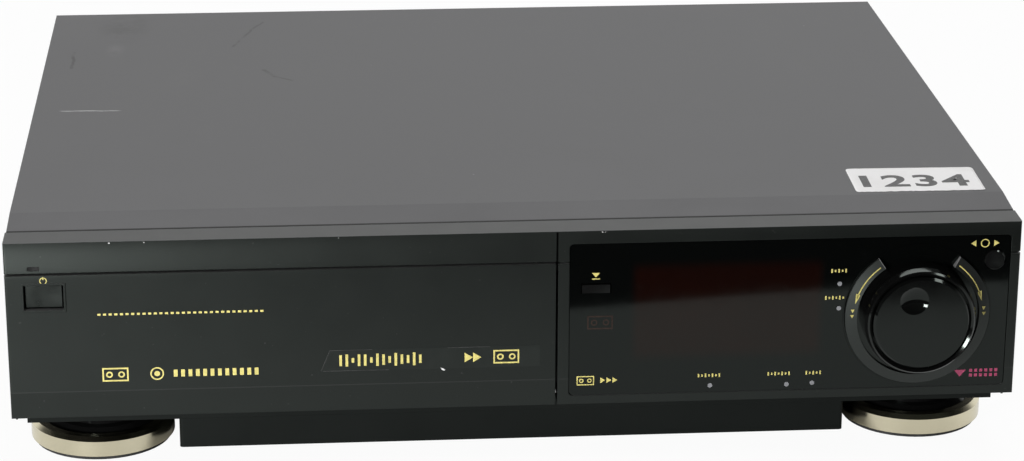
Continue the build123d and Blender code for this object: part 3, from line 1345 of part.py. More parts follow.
def reel_table(x):
    """A flanged turntable with a splined spindle for the cassette's hub."""
    low = DECK_TOP + REEL_FLOAT
    bore = SHAFT_RADIUS + RUNNING_FIT
    flange = low + REEL_FLANGE
    step = REEL_RADIUS - REEL_RIM
    outline = (
        (bore, low),
        (REEL_RADIUS, low),
        (REEL_RADIUS, flange),
        (step, flange),
        (step - REEL_STEP, flange + REEL_STEP),
        (SPINDLE_RADIUS, flange + REEL_STEP),
        (SPINDLE_RADIUS, SPINDLE_TOP - SPINDLE_TIP),
        (SPINDLE_RADIUS - SPINDLE_TAPER, SPINDLE_TOP),
        (bore, SPINDLE_TOP),
    )
    table = turned_z(outline, x, REEL_Y)
    half = SPLINE_WIDTH / 2
    top = SPINDLE_TOP - SPINDLE_SHAFT_DROP
    reach = SPINDLE_RADIUS + SPLINE_REACH
    for index in range(SPLINE_COUNT):
        fin = block(SPINDLE_RADIUS - THROUGH, reach, -half, half, flange, top)
        table += Pos(x, REEL_Y, 0) * Rot(0, 0, index * 360 / SPLINE_COUNT) * fin
    return table


def idler_arm():
    low = DECK_TOP + MOVING_GAP
    high = DECK_TOP + REEL_FLOAT - MOVING_GAP + IDLER_ARM_LIFT
    x = SLOT_CENTRE_X
    y = IDLER_PIVOT_Y
    hub_top = high + IDLER_THICKNESS
    arm = bar(x, y, 90, IDLER_ARM, IDLER_ARM_WIDTH, low, high)
    arm += rod_z(x, y, low, hub_top, IDLER_ARM_WIDTH / 2)
    arm -= rod_z(x, y, low - THROUGH, hub_top + THROUGH, SHAFT_RADIUS + RUNNING_FIT)
    return arm + rod_z(x, y + IDLER_ARM, low, hub_top + SHAFT_TIP, SHAFT_RADIUS)


def idler_wheel():
    x = SLOT_CENTRE_X
    y = IDLER_PIVOT_Y + IDLER_ARM
    low = DECK_TOP + REEL_FLOAT + MOVING_GAP
    wheel = rod_z(x, y, low, low + IDLER_THICKNESS, IDLER_RADIUS)
    high = low + IDLER_THICKNESS + THROUGH
    low -= THROUGH
    ring = IDLER_RADIUS * IDLER_HOLE_RING
    for index in range(IDLER_HOLE_COUNT):
        angle = radians(index * 360 / IDLER_HOLE_COUNT)
        hole_x = x + ring * cos(angle)
        hole_y = y + ring * sin(angle)
        wheel -= rod_z(hole_x, hole_y, low, high, IDLER_RADIUS * IDLER_HOLE_SHARE)
    return wheel - rod_z(x, y, low, high, SHAFT_RADIUS + RUNNING_FIT)


def bar(x, y, angle, length, width, z0, z1):
    """A flat bar with round ends from (x, y), along a direction in the deck's plane."""
    flat = block(0, length, -width / 2, width / 2, z0, z1)
    flat += rod_z(0, 0, z0, z1, width / 2)
    flat += rod_z(length, 0, z0, z1, width / 2)
    return Pos(x, y, 0) * Rot(0, 0, angle) * flat


def on_drum(shape):
    """Places a shape drawn about the drum's axis, with z = 0 on the deck, on the tilted axis."""
    return Pos(DRUM_X, DRUM_Y, DECK_TOP) * Rot(DRUM_TILT, 0, 0) * shape


def drum_base():
    base = rod_z(DRUM_X, DRUM_Y, DECK_TOP, DECK_TOP + 2 * DRUM_LIFT, DRUM_BASE_RADIUS)
    big = 3 * DRUM_RADIUS
    base -= on_drum(block(-big, big, -big, big, DRUM_LIFT, big))
    return base - on_drum(rod_z(0, 0, -big, big, 2 * DRUM_SHAFT_RADIUS))


def lower_drum():
    low = DRUM_LIFT
    high = low + LOWER_DRUM_HEIGHT
    drum = rod_z(0, 0, low, high, DRUM_RADIUS)
    drum -= rod_z(0, 0, low - THROUGH, high + THROUGH, DRUM_SHAFT_RADIUS + RUNNING_FIT)
    return on_drum(drum)


def upper_drum():
    low = DRUM_LIFT + LOWER_DRUM_HEIGHT + DRUM_SLIT
    high = low + UPPER_DRUM_HEIGHT
    bore = DRUM_SHAFT_RADIUS + DRUM_SHAFT_FIT
    rim = DRUM_RADIUS - UPPER_DRUM_RIM
    dish = high - UPPER_DRUM_DISH
    outline = (
        (bore, low),
        (DRUM_RADIUS, low),
        (DRUM_RADIUS, high - UPPER_DRUM_EDGE),
        (DRUM_RADIUS - UPPER_DRUM_EDGE, high),
        (rim, high),
        (rim - UPPER_DRUM_SLOPE, dish),
        (UPPER_DRUM_BOSS, dish),
        (UPPER_DRUM_BOSS, high),
        (bore, high),
    )
    return on_drum(turned_z(outline, 0, 0))


def video_heads():
    z1 = DRUM_LIFT + LOWER_DRUM_HEIGHT + DRUM_SLIT
    z0 = z1 - DRUM_SLIT + MOVING_GAP
    reach = DRUM_RADIUS + HEAD_PROUD
    heads = []
    for index in range(HEAD_COUNT):
        tip = block(reach - HEAD_LENGTH, reach, -HEAD_WIDTH / 2, HEAD_WIDTH / 2, z0, z1)
        heads.append(on_drum(Rot(0, 0, 45 + index * 360 / HEAD_COUNT) * tip))
    return heads


def drum_shaft():
    top = DRUM_LIFT + LOWER_DRUM_HEIGHT + DRUM_SLIT + UPPER_DRUM_HEIGHT + DRUM_SHAFT_TIP
    return on_drum(rod_z(0, 0, -ROTOR_DROP - ROTOR_HEIGHT, top, DRUM_SHAFT_RADIUS))


def drum_rotor():
    low = -ROTOR_DROP - ROTOR_HEIGHT
    rotor = rod_z(0, 0, low, -ROTOR_DROP, ROTOR_RADIUS)
    return on_drum(rotor - rod_z(0, 0, low - THROUGH, 0, DRUM_SHAFT_RADIUS))


def guide_place(angle, radius=GUIDE_RADIUS):
    """A point at an angle from the front of the drum, positive towards +X."""
    turn = radians(angle)
    return DRUM_X + radius * sin(turn), DRUM_Y - radius * cos(turn)


def tape_guide(side):
    """A sliding base with its post and roller; side is -1 for supply, 1 for take-up."""
    low = DECK_TOP + TRACK_HEIGHT + MOVING_GAP
    half = GUIDE_BASE / 2
    base = block(-half, half, -half, half, low, low + GUIDE_BASE_HEIGHT)
    base += rod_z(0, 0, low, GUIDE_TOP, SHAFT_RADIUS)
    roller_low = low + GUIDE_BASE_HEIGHT + GUIDE_ROLLER_GAP
    base += rod_z(0, 0, roller_low, GUIDE_TOP - GUIDE_ROLLER_GAP, GUIDE_ROLLER_RADIUS)
    x, y = guide_place(side * GUIDE_START)
    return Pos(x, y, 0) * Rot(0, 0, side * GUIDE_START) * base


def guide_tracks():
    """Two raised arcs on the deck, concentric with the drum."""
    inner = GUIDE_RADIUS - TRACK_WIDTH / 2
    outer = GUIDE_RADIUS + TRACK_WIDTH / 2
    high = DECK_TOP + TRACK_HEIGHT
    ring = rod_z(DRUM_X, DRUM_Y, DECK_TOP, high, outer)
    ring -= rod_z(DRUM_X, DRUM_Y, DECK_TOP - THROUGH, high + THROUGH, inner)
    first = GUIDE_START - TRACK_OVERRUN
    last = GUIDE_START + GUIDE_SWING + TRACK_OVERRUN
    tracks = []
    for side in (-1, 1):
        points = [(DRUM_X, DRUM_Y)]
        for step in range(TRACK_STEP_COUNT + 1):
            angle = side * (first + (last - first) * step / TRACK_STEP_COUNT)
            points.append(guide_place(angle, 1.5 * outer))
        wedge = extrude(make_face(Polyline(*points, close=True)), 2 * high)
        tracks.append(ring & wedge)
    return tracks


def capstan():
    """Shaft and flywheel in one."""
    high = FLYWHEEL_BOTTOM + FLYWHEEL_HEIGHT
    wheel = rod_z(CAPSTAN_X, CAPSTAN_Y, FLYWHEEL_BOTTOM, high, FLYWHEEL_RADIUS)
    return wheel + rod_z(CAPSTAN_X, CAPSTAN_Y, FLYWHEEL_BOTTOM, CAPSTAN_TOP, CAPSTAN_RADIUS)


def capstan_bearing():
    low = DECK_Z - STATOR_HEIGHT
    high = DECK_TOP + CAPSTAN_BEARING_RISE
    bore = CAPSTAN_RADIUS + RUNNING_FIT
    sleeve = rod_z(CAPSTAN_X, CAPSTAN_Y, low, high, CAPSTAN_BEARING_RADIUS)
    return sleeve - rod_z(CAPSTAN_X, CAPSTAN_Y, low - THROUGH, high + THROUGH, bore)


def capstan_stator():
    low = DECK_Z - STATOR_HEIGHT
    disc = rod_z(CAPSTAN_X, CAPSTAN_Y, low, DECK_Z, STATOR_RADIUS)
    return disc - rod_z(CAPSTAN_X, CAPSTAN_Y, low - THROUGH, DECK_Z + THROUGH, CAPSTAN_BEARING_RADIUS)


def pinch_geometry():
    """Arm length, pressed angle and rest angle of the pinch roller's arm, in degrees."""
    dx = CAPSTAN_X - PINCH_PIVOT_X
    dy = CAPSTAN_Y - PINCH_PIVOT_Y
    span = hypot(dx, dy)
    gap = CAPSTAN_RADIUS + PINCH_RADIUS + MOVING_GAP
    arm = span
    pressed = degrees(atan2(dy, dx)) - 2 * degrees(atan2(gap / 2, arm))
    return arm, pressed, pressed - PINCH_SWING


def pinch_place():
    arm, _, rest = pinch_geometry()
    x = PINCH_PIVOT_X + arm * cos(radians(rest))
    y = PINCH_PIVOT_Y + arm * sin(radians(rest))
    return x, y


def pinch_arm():
    arm, _, rest = pinch_geometry()
    low = PINCH_ARM_Z
    high = low + PINCH_ARM_THICKNESS
    lever = bar(PINCH_PIVOT_X, PINCH_PIVOT_Y, rest, arm, PINCH_ARM_WIDTH, low, high)
    bore = SHAFT_RADIUS + RUNNING_FIT
    lever -= rod_z(PINCH_PIVOT_X, PINCH_PIVOT_Y, low - THROUGH, high + THROUGH, bore)
    x, y = pinch_place()
    return lever + rod_z(x, y, low, PINCH_TOP + SHAFT_TIP, SHAFT_RADIUS)


def pinch_roller():
    x, y = pinch_place()
    roller = rod_z(x, y, PINCH_BOTTOM, PINCH_TOP, PINCH_RADIUS)
    low = PINCH_BOTTOM - THROUGH
    return roller - rod_z(x, y, low, PINCH_TOP + THROUGH, SHAFT_RADIUS + RUNNING_FIT)


def tension_arm():
    low = PINCH_ARM_Z
    high = low + PINCH_ARM_THICKNESS
    lever = bar(TENSION_PIVOT_X, TENSION_PIVOT_Y, TENSION_START, TENSION_ARM, TENSION_WIDTH, low, high)
    bore = SHAFT_RADIUS + RUNNING_FIT
    lever -= rod_z(TENSION_PIVOT_X, TENSION_PIVOT_Y, low - THROUGH, high + THROUGH, bore)
    x = TENSION_PIVOT_X + TENSION_ARM * cos(radians(TENSION_START))
    y = TENSION_PIVOT_Y + TENSION_ARM * sin(radians(TENSION_START))
    return lever + rod_z(x, y, low, GUIDE_TOP, SHAFT_RADIUS)


def tape_head(x, y):
    """A head block on its foot, facing the drum."""
    angle = degrees(atan2(DRUM_Y - y, DRUM_X - x))
    half = HEAD_BLOCK / 2
    foot = HEAD_FOOT / 2
    body = block(-half, half, -half, half, DECK_TOP + HEAD_BLOCK_LIFT, HEAD_BLOCK_TOP)
    body = fillet(body.edges().filter_by(Axis.Z).sort_by(Axis.X)[-2:], half / 2)
    stem = half - HEAD_STEM_INSET
    body += block(-foot, stem, -foot, foot, DECK_TOP, DECK_TOP + HEAD_FOOT_HEIGHT)
    body += block(-stem, stem - HEAD_STEM_INSET, -stem, stem, DECK_TOP, DECK_TOP + 2 * HEAD_BLOCK_LIFT)
    return Pos(x, y, 0) * Rot(0, 0, angle) * body


def cam_gear():
    """The loading cam: a barrel under a toothed rim."""
    low = DECK_TOP + MOVING_GAP
    gear_top = CAM_GEAR_Z + CAM_GEAR_HEIGHT
    gear = rod_z(CAM_X, CAM_Y, CAM_GEAR_Z, gear_top, CAM_RADIUS - CAM_TOOTH)
    half = radians(360 / CAM_TEETH) * CAM_RADIUS / 4
    root = CAM_RADIUS - CAM_TOOTH - THROUGH
    for index in range(CAM_TEETH):
        tooth = block(root, CAM_RADIUS, -half, half, CAM_GEAR_Z, gear_top)
        gear += Pos(CAM_X, CAM_Y, 0) * Rot(0, 0, index * 360 / CAM_TEETH) * tooth
    gear += rod_z(CAM_X, CAM_Y, low, CAM_GEAR_Z, CAM_BARREL_RADIUS)
    return gear - rod_z(CAM_X, CAM_Y, low - THROUGH, gear_top + THROUGH, SHAFT_RADIUS + RUNNING_FIT)


def worm_line():
    """The worm axis: its y and z."""
    return CAM_Y + CAM_RADIUS + WORM_RADIUS + MOVING_GAP, CAM_GEAR_Z + CAM_GEAR_HEIGHT / 2


def worm():
    y, z = worm_line()
    x0 = CAM_X - WORM_LENGTH / 2
    screw = rod_x(y, z, x0, x0 + WORM_LENGTH, WORM_RADIUS - WORM_THREAD_HEIGHT)
    step = WORM_LENGTH / WORM_THREADS
    for index in range(WORM_THREADS):
        x = x0 + index * step
        screw += rod_x(y, z, x, x + step / 2, WORM_RADIUS)
    end = x0 + WORM_LENGTH
    return screw + rod_x(y, z, end, end + MOTOR_GAP + MOTOR_SHAFT_SEAT, MOTOR_SHAFT_RADIUS)


def loading_motor():
    """A small can motor on its bracket, with the worm on its shaft."""
    y, z = worm_line()
    x0 = CAM_X + WORM_LENGTH / 2 + MOTOR_GAP
    x1 = x0 + MOTOR_LENGTH
    half = MOTOR_RADIUS / 2
    can = rod_x(y, z, x0, x1, MOTOR_RADIUS)
    can += block(x0 + MOTOR_FOOT_INSET, x1 - MOTOR_FOOT_INSET, y - half, y + half, DECK_TOP, z)
    seat = x0 + MOTOR_SHAFT_SEAT + MOVING_GAP
    return can - rod_x(y, z, x0 - THROUGH, seat, MOTOR_SHAFT_RADIUS + RUNNING_FIT)


def head_amp_can():
    can = block(AMP_LEFT, AMP_RIGHT, AMP_FRONT_Y, AMP_REAR_Y, DECK_TOP, AMP_TOP)
    pitch = AMP_WIDTH / (AMP_GROOVE_COUNT + 1)
    half = CAN_GROOVE_WIDTH / 2
    y0 = AMP_FRONT_Y + CAN_GROOVE_INSET
    y1 = AMP_REAR_Y - CAN_GROOVE_INSET
    for index in range(AMP_GROOVE_COUNT):
        x = AMP_LEFT + (index + 1) * pitch
        can -= block(x - half, x + half, y0, y1, AMP_TOP - CAN_GROOVE_DEPTH, AMP_TOP + THROUGH)
    return can


# ---------------------------------------------------------------- boards on the right
def board_standoffs():
    inset = BOARD_POST_INSET
    xs = (BOARD_LEFT + inset, BOARD_SPLIT - inset, SUPPLY_LEFT + inset, BOARD_RIGHT - inset)
    ys = (BOARD_FRONT_Y + inset, SUPPLY_FRONT_Y + inset, BOARD_REAR_Y - inset)
    return [rod_z(x, y, PAN_TOP, BOARD_Z, STANDOFF_RADIUS) for x in xs for y in ys]


def main_board():
    corner_y = SUPPLY_FRONT_Y - BOARD_GAP
    board = block(BOARD_LEFT, BOARD_RIGHT, BOARD_FRONT_Y, corner_y, BOARD_Z, BOARD_TOP)
    return board + block(BOARD_LEFT, BOARD_SPLIT, corner_y, BOARD_REAR_Y, BOARD_Z, BOARD_TOP)


def board_parts():
    """Chips and capacitors, in rows."""
    parts = []
    half_l = CHIP_LENGTH / 2
    half_w = CHIP_WIDTH / 2
    chip_top = BOARD_TOP + CHIP_HEIGHT
    for column in range(PART_COLUMNS):
        for row in range(PART_ROWS):
            x = BOARD_LEFT + PART_INSET + column * PART_COLUMN_PITCH
            y = BOARD_FRONT_Y + PART_INSET + row * PART_ROW_PITCH
            parts.append(block(x - half_l, x + half_l, y - half_w, y + half_w, BOARD_TOP, chip_top))
            parts.append(board_can(x + PART_SPACING, y, TALL_CAP_HEIGHT, TALL_CAP_RADIUS))
            parts.append(board_can(x, y + PART_SPACING, SHORT_CAP_HEIGHT, SHORT_CAP_RADIUS))
    return parts


def board_can(x, y, height, radius):
    """A capacitor standing on a board."""
    return rod_z(x, y, BOARD_TOP, BOARD_TOP + height, radius)


def supply_board():
    return block(SUPPLY_LEFT, BOARD_RIGHT, SUPPLY_FRONT_Y, BOARD_REAR_Y, BOARD_Z, BOARD_TOP)


def supply_parts():
    """Reservoir capacitors and a finned heat sink."""
    parts = []
    for index in range(RESERVOIR_COUNT):
        x = SUPPLY_LEFT + RESERVOIR_INSET_X + index * RESERVOIR_PITCH
        height = RESERVOIR_HEIGHT - index * RESERVOIR_STEP
        parts.append(board_can(x, SUPPLY_FRONT_Y + RESERVOIR_INSET_Y, height, RESERVOIR_RADIUS))
    x0 = SUPPLY_LEFT + SINK_INSET
    x1 = x0 + SINK_WALL
    y0 = SUPPLY_FRONT_Y + SINK_START
    top = BOARD_TOP + SINK_HEIGHT
    sink = block(x0, x1, y0, y0 + SINK_LENGTH, BOARD_TOP, top)
    row = (SINK_FIN_COUNT - 1) * SINK_FIN_PITCH + SINK_FIN_WIDTH
    first = y0 + (SINK_LENGTH - row) / 2
    for index in range(SINK_FIN_COUNT):
        y = first + index * SINK_FIN_PITCH
        sink += block(x0, x1 + SINK_FIN_LENGTH, y, y + SINK_FIN_WIDTH, BOARD_TOP, top)
    return parts + [sink]


def transformer():
    half = TRANSFORMER_SIZE / 2
    x = TRANSFORMER_X
    y = TRANSFORMER_Y
    top = BOARD_TOP + TRANSFORMER_HEIGHT
    core = block(x - half, x + half, y - half / 2, y + half / 2, BOARD_TOP, top)
    coil_x = half - COIL_INSET_X
    coil_y = half - COIL_INSET_Y
    coil = block(x - coil_x, x + coil_x, y - coil_y, y + coil_y, BOARD_TOP + COIL_CUT, top - COIL_CUT)
    return core + fillet(coil.edges().filter_by(Axis.Z), COIL_ROUND)


def tuner_can():
    can = block(TUNER_LEFT, TUNER_RIGHT, TUNER_FRONT_Y, TUNER_REAR_Y, BOARD_TOP, TUNER_TOP)
    x0 = TUNER_LEFT + TUNER_GROOVE_INSET
    x1 = TUNER_RIGHT - TUNER_GROOVE_INSET
    low = TUNER_TOP - CAN_GROOVE_DEPTH
    for index in range(TUNER_GROOVE_COUNT):
        y = TUNER_FRONT_Y + TUNER_GROOVE_START + index * TUNER_GROOVE_PITCH
        can -= block(x0, x1, y, y + CAN_GROOVE_WIDTH, low, TUNER_TOP + THROUGH)
    return can


# ---------------------------------------------------------------- rear sockets
def scart_prism(z, margin, y0, y1):
    """The lopsided outline of a SCART shell: one end is cut at a slant."""
    half_w = SCART_WIDTH / 2 + margin
    half_h = SCART_HEIGHT / 2 + margin
    slant = SCART_HEIGHT / 2
    points = (
        (-half_w, -half_h),
        (half_w - slant, -half_h),
        (half_w, 0),
        (half_w, half_h),
        (-half_w, half_h),
    )
    face = Plane.XZ.offset(-y0) * make_face(Polyline(*points, close=True))
    return Pos(SCART_X, 0, z) * extrude(face, -(y1 - y0))


def scart_zs():
    return (SCART_Z - SCART_PITCH / 2, SCART_Z + SCART_PITCH / 2)


def socket_block(x, z, half_w, half_h, depth):
    """The hidden body of a socket, standing against the rear panel's inner face."""
    return block(x - half_w, x + half_w, REAR_Y - depth, REAR_Y, z - half_h, z + half_h)


def scart_sockets():
    sockets = []
    for z in scart_zs():
        half_w = SCART_WIDTH / 2
        flange_w = half_w + SCART_FLANGE_X
        flange_h = SCART_HEIGHT / 2 + SCART_FLANGE_Z
        body = socket_block(SCART_X, z, flange_w, flange_h, SCART_DEPTH)
        face = REAR_Y + REAR_THICKNESS + SCART_PROUD
        floor = face - SCART_DEPTH + SCART_FLOOR
        body += scart_prism(z, 0, REAR_Y - THROUGH, face)
        body -= scart_prism(z, -SCART_WALL, floor, face + THROUGH)
        reach = half_w - SCART_TONGUE_INSET
        low = z - SCART_TONGUE_HALF
        high = z + SCART_TONGUE_HALF
        body += block(SCART_X - reach, SCART_X + reach, floor - THROUGH, face - SCART_FLOOR, low, high)
        sockets.append(body)
    return sockets


def phono_places():
    places = []
    for column in range(PHONO_COLUMNS):
        for row in range(PHONO_ROWS):
            places.append((PHONO_X + column * PHONO_PITCH, PHONO_Z + row * PHONO_PITCH))
    return places


def phono_sockets():
    sockets = []
    for x, z in phono_places():
        face = REAR_Y + REAR_THICKNESS + PHONO_PROUD
        jack = socket_block(x, z, PHONO_BODY / 2, PHONO_BODY / 2, PHONO_BODY)
        jack += rod_y(x, z, REAR_Y - THROUGH, face, PHONO_RADIUS)
        floor = face - PHONO_DEPTH
        room = PHONO_RADIUS - PHONO_WALL
        jack -= rod_y(x, z, floor, face + THROUGH, room)
        core = rod_y(x, z, floor - THROUGH, face, room - PHONO_RING_GAP)
        jack += core - rod_y(x, z, floor + THROUGH, face + THROUGH, PHONO_BORE)
        sockets.append(jack)
    return sockets


def svideo_zs():
    return (PHONO_Z, PHONO_Z + PHONO_PITCH)


def svideo_sockets():
    sockets = []
    for z in svideo_zs():
        face = REAR_Y + REAR_THICKNESS + SVIDEO_PROUD
        jack = socket_block(SVIDEO_X, z, SVIDEO_BODY / 2, SVIDEO_BODY / 2, PHONO_BODY)
        jack += rod_y(SVIDEO_X, z, REAR_Y - THROUGH, face, SVIDEO_RADIUS)
        floor = face - SVIDEO_DEPTH
        jack -= rod_y(SVIDEO_X, z, floor, face + THROUGH, SVIDEO_RADIUS - SVIDEO_WALL)
        x0 = SVIDEO_X - SVIDEO_KEY_HALF
        x1 = SVIDEO_X + SVIDEO_KEY_HALF
        low = z - SVIDEO_KEY_LOW
        jack += block(x0, x1, floor - THROUGH, face - SVIDEO_WALL, low, z - SVIDEO_KEY_HIGH)
        sockets.append(jack)
    return sockets


def aerial_places():
    return [(AERIAL_X, AERIAL_Z), (AERIAL_X, AERIAL_Z + AERIAL_PITCH)]


def aerial_sockets():
    sockets = []
    for index, (x, z) in enumerate(aerial_places()):
        face = REAR_Y + REAR_THICKNESS + AERIAL_PROUD
        body = rod_y(x, z, TUNER_REAR_Y, face, AERIAL_RADIUS)
        floor = REAR_Y + REAR_THICKNESS + AERIAL_FLOOR
        body -= rod_y(x, z, floor, face + THROUGH, AERIAL_RADIUS - AERIAL_WALL)
        tip = face - AERIAL_PIN_SHY * (1 - index)
        body += rod_y(x, z, floor - AERIAL_FLOOR, tip, AERIAL_PIN_RADIUS + AERIAL_PIN_STEP * index)
        sockets.append(body)
    return sockets


def mains_inlet():
    """A two-pin inlet: a flanged block with a recess, in which its pins stand."""
    half_w = INLET_WIDTH / 2
    half_h = INLET_HEIGHT / 2
    face = REAR_Y + REAR_THICKNESS + INLET_PROUD
    body = socket_block(INLET_X, INLET_Z, half_w + INLET_FLANGE, half_h + INLET_FLANGE, INLET_DEPTH)
    body += inlet_prism(0, REAR_Y - THROUGH, face)
    well = face - INLET_DEPTH + INLET_WALL
    body -= inlet_prism(-INLET_WALL, well, face + THROUGH)
    for side in (-1, 1):
        x = INLET_X + side * INLET_PIN_SPACING / 2
        body += rod_y(x, INLET_Z, well - THROUGH, face - INLET_PIN_SHY, INLET_PIN_RADIUS)
    return body


def inlet_prism(margin, y0, y1):
    half_w = INLET_WIDTH / 2 + margin
    half_h = INLET_HEIGHT / 2 + margin
    return block(INLET_X - half_w, INLET_X + half_w, y0, y1, INLET_Z - half_h, INLET_Z + half_h)


def rear_socket_holes():
    """The cut-outs of the rear panel, each a named clearance larger than its socket."""
    y0 = REAR_Y - THROUGH
    y1 = REAR_Y + REAR_THICKNESS + THROUGH
    fit = SOCKET_FIT
    holes = [scart_prism(z, fit, y0, y1) for z in scart_zs()]
    holes += [rod_y(x, z, y0, y1, PHONO_RADIUS + fit) for x, z in phono_places()]
    holes += [rod_y(SVIDEO_X, z, y0, y1, SVIDEO_RADIUS + fit) for z in svideo_zs()]
    holes += [rod_y(x, z, y0, y1, AERIAL_RADIUS + fit) for x, z in aerial_places()]
    holes.append(inlet_prism(fit, y0, y1))
    return holes


# ---------------------------------------------------------------- nodes
save("top_cover", top_cover())
save("front_bezel", front_bezel())
save("front_flap", front_flap())
save("flap_hinge_pins", *flap_hinge_pins())
save("bottom_pan", bottom_pan())
save("plinth", plinth())
save("rear_panel", rear_panel())
save("rear_screws", *cover_screws())
save("foot_pads", *foot_pads())
save("foot_rings", *foot_rings())
save("foot_hubs", *foot_hubs())
save("window_panel", window_panel())
save("indicator_lenses", power_lens(), *indicator_lenses())
save("power_key", power_key())
save("open_key", open_key())
save("mode_button", mode_button())
save("dial_escutcheon", dial_escutcheon())
save("shuttle_ring", shuttle_ring())
save("jog_dial", jog_dial())
save("dial_encoder", dial_encoder())
save("front_board", front_board(), *front_switches())
save("display_tube", display_tube())
save("control_panel", control_panel())
save("control_boards", *key_board(), *power_board())
for number, key_x in enumerate(key_xs(), start=1):
    save(f"transport_key_{number}", transport_key(key_x))
save("carriage_sides", *carriage_sides())
save("carriage_slider", carriage_slider())
save("cassette_basket", cassette_basket())
save("dust_flap", dust_flap())
save("deck_plate", deck_plate(), *guide_tracks())
save("deck_posts", *deck_shafts(), *deck_standoffs(), *board_standoffs())
save("supply_reel", reel_table(reel_xs()[0]))
save("takeup_reel", reel_table(reel_xs()[1]))
save("idler_arm", idler_arm())
save("idler_wheel", idler_wheel())
save("lower_drum", lower_drum(), drum_base())
save("upper_drum", upper_drum())
save("video_heads", *video_heads())
save("drum_rotor", drum_shaft(), drum_rotor())
save("supply_guide", tape_guide(-1))
save("takeup_guide", tape_guide(1))
save("capstan", capstan())
save("capstan_bearing", capstan_bearing(), capstan_stator())
save("pinch_arm", pinch_arm())
save("pinch_roller", pinch_roller())
save("tension_arm", tension_arm())
save("tape_heads", tape_head(AUDIO_HEAD_X, AUDIO_HEAD_Y), tape_head(ERASE_HEAD_X, ERASE_HEAD_Y))
save("cam_gear", cam_gear())
save("worm", worm())
save("loading_motor", loading_motor())
save("circuit_boards", main_board(), supply_board())
save("board_parts", *board_parts(), *supply_parts())
save("screening_cans", head_amp_can(), tuner_can(), transformer())
sockets = scart_sockets() + phono_sockets() + svideo_sockets() + aerial_sockets()
save("rear_sockets", *sockets, mains_inlet())
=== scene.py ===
import json
import math
import random

import bmesh
import bpy
from mathutils import Matrix, Vector


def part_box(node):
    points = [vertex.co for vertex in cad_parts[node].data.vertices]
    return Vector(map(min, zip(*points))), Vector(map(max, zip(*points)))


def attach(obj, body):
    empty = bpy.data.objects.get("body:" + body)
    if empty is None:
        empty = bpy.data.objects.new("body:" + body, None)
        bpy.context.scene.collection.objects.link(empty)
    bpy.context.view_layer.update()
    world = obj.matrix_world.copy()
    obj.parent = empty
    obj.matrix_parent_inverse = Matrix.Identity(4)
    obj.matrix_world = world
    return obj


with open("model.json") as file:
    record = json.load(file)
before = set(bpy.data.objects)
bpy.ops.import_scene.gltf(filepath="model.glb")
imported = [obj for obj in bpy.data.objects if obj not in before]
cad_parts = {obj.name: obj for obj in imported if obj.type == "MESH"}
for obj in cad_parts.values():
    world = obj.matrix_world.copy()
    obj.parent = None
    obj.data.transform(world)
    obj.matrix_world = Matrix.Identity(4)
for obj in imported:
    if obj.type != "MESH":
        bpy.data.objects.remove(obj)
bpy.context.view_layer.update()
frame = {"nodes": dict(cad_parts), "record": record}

# Lengths are in metres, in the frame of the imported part: +X right, +Y rearwards, +Z up.
MM = 0.001
FRONT_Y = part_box("front_bezel")[0].y
PANEL_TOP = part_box("front_bezel")[1].z
COVER_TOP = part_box("top_cover")[1].z
WINDOW_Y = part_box("window_panel")[0].y
JOG_LOW, JOG_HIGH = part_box("jog_dial")
DIAL_X = (JOG_LOW.x + JOG_HIGH.x) / 2
DIAL_Z = (JOG_LOW.z + JOG_HIGH.z) / 2
COVER_FRONT_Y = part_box("top_cover")[0].y
REAR_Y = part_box("rear_panel")[1].y
# The front: the top of its chin, the foot of its upper band, and how far that band leans back.
CHIN_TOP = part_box("front_bezel")[0].z + 11.9 * MM
BAND_LOW = PANEL_TOP - 16.0 * MM
BAND_LEAN = 0.115
# The dial: where the ring's wings begin, the angle of their ends, the disc's rim and its finger dimple.
WING_START = 26.2 * MM
WING_END = math.radians(34.4)
JOG_RIM = 19.9 * MM
DIMPLE_X = DIAL_X - 3.7 * MM
DIMPLE_Z = DIAL_Z + 10.4 * MM
DIMPLE_REACH = 6.2 * MM
PRINT_THICKNESS = 0.04 * MM
SEED = 7

# ---------------------------------------------------------------- camera
CAMERA_X = -97.2 * MM
CAMERA_DISTANCE = 1222.3 * MM
CAMERA_RISE = 430.1 * MM
CAMERA_YAW = 4.42
CAMERA_PITCH = 19.29
CAMERA_ROLL = 0.18
CAMERA_LENS = 108.75
CAMERA_SENSOR = 36.0


def add_camera():
    """A long lens, above the front and a little left of the middle."""
    yaw = math.radians(CAMERA_YAW)
    pitch = math.radians(CAMERA_PITCH)
    roll = math.radians(CAMERA_ROLL)
    ahead = Vector((
        math.sin(yaw) * math.cos(pitch),
        math.cos(yaw) * math.cos(pitch),
        -math.sin(pitch),
    ))
    level = Vector((math.cos(yaw), -math.sin(yaw), 0))
    above = level.cross(ahead)
    right = level * math.cos(roll) + above * math.sin(roll)
    up = above * math.cos(roll) - level * math.sin(roll)
    data = bpy.data.cameras.new("camera")
    data.lens = CAMERA_LENS
    data.sensor_width = CAMERA_SENSOR
    data.sensor_fit = "HORIZONTAL"
    camera = bpy.data.objects.new("camera", data)
    bpy.context.collection.objects.link(camera)
    turn = Matrix((right, up, -ahead)).transposed().to_4x4()
    place = Vector((CAMERA_X, FRONT_Y - CAMERA_DISTANCE, PANEL_TOP + CAMERA_RISE))
    camera.matrix_world = Matrix.Translation(place) @ turn
    bpy.context.scene.camera = camera


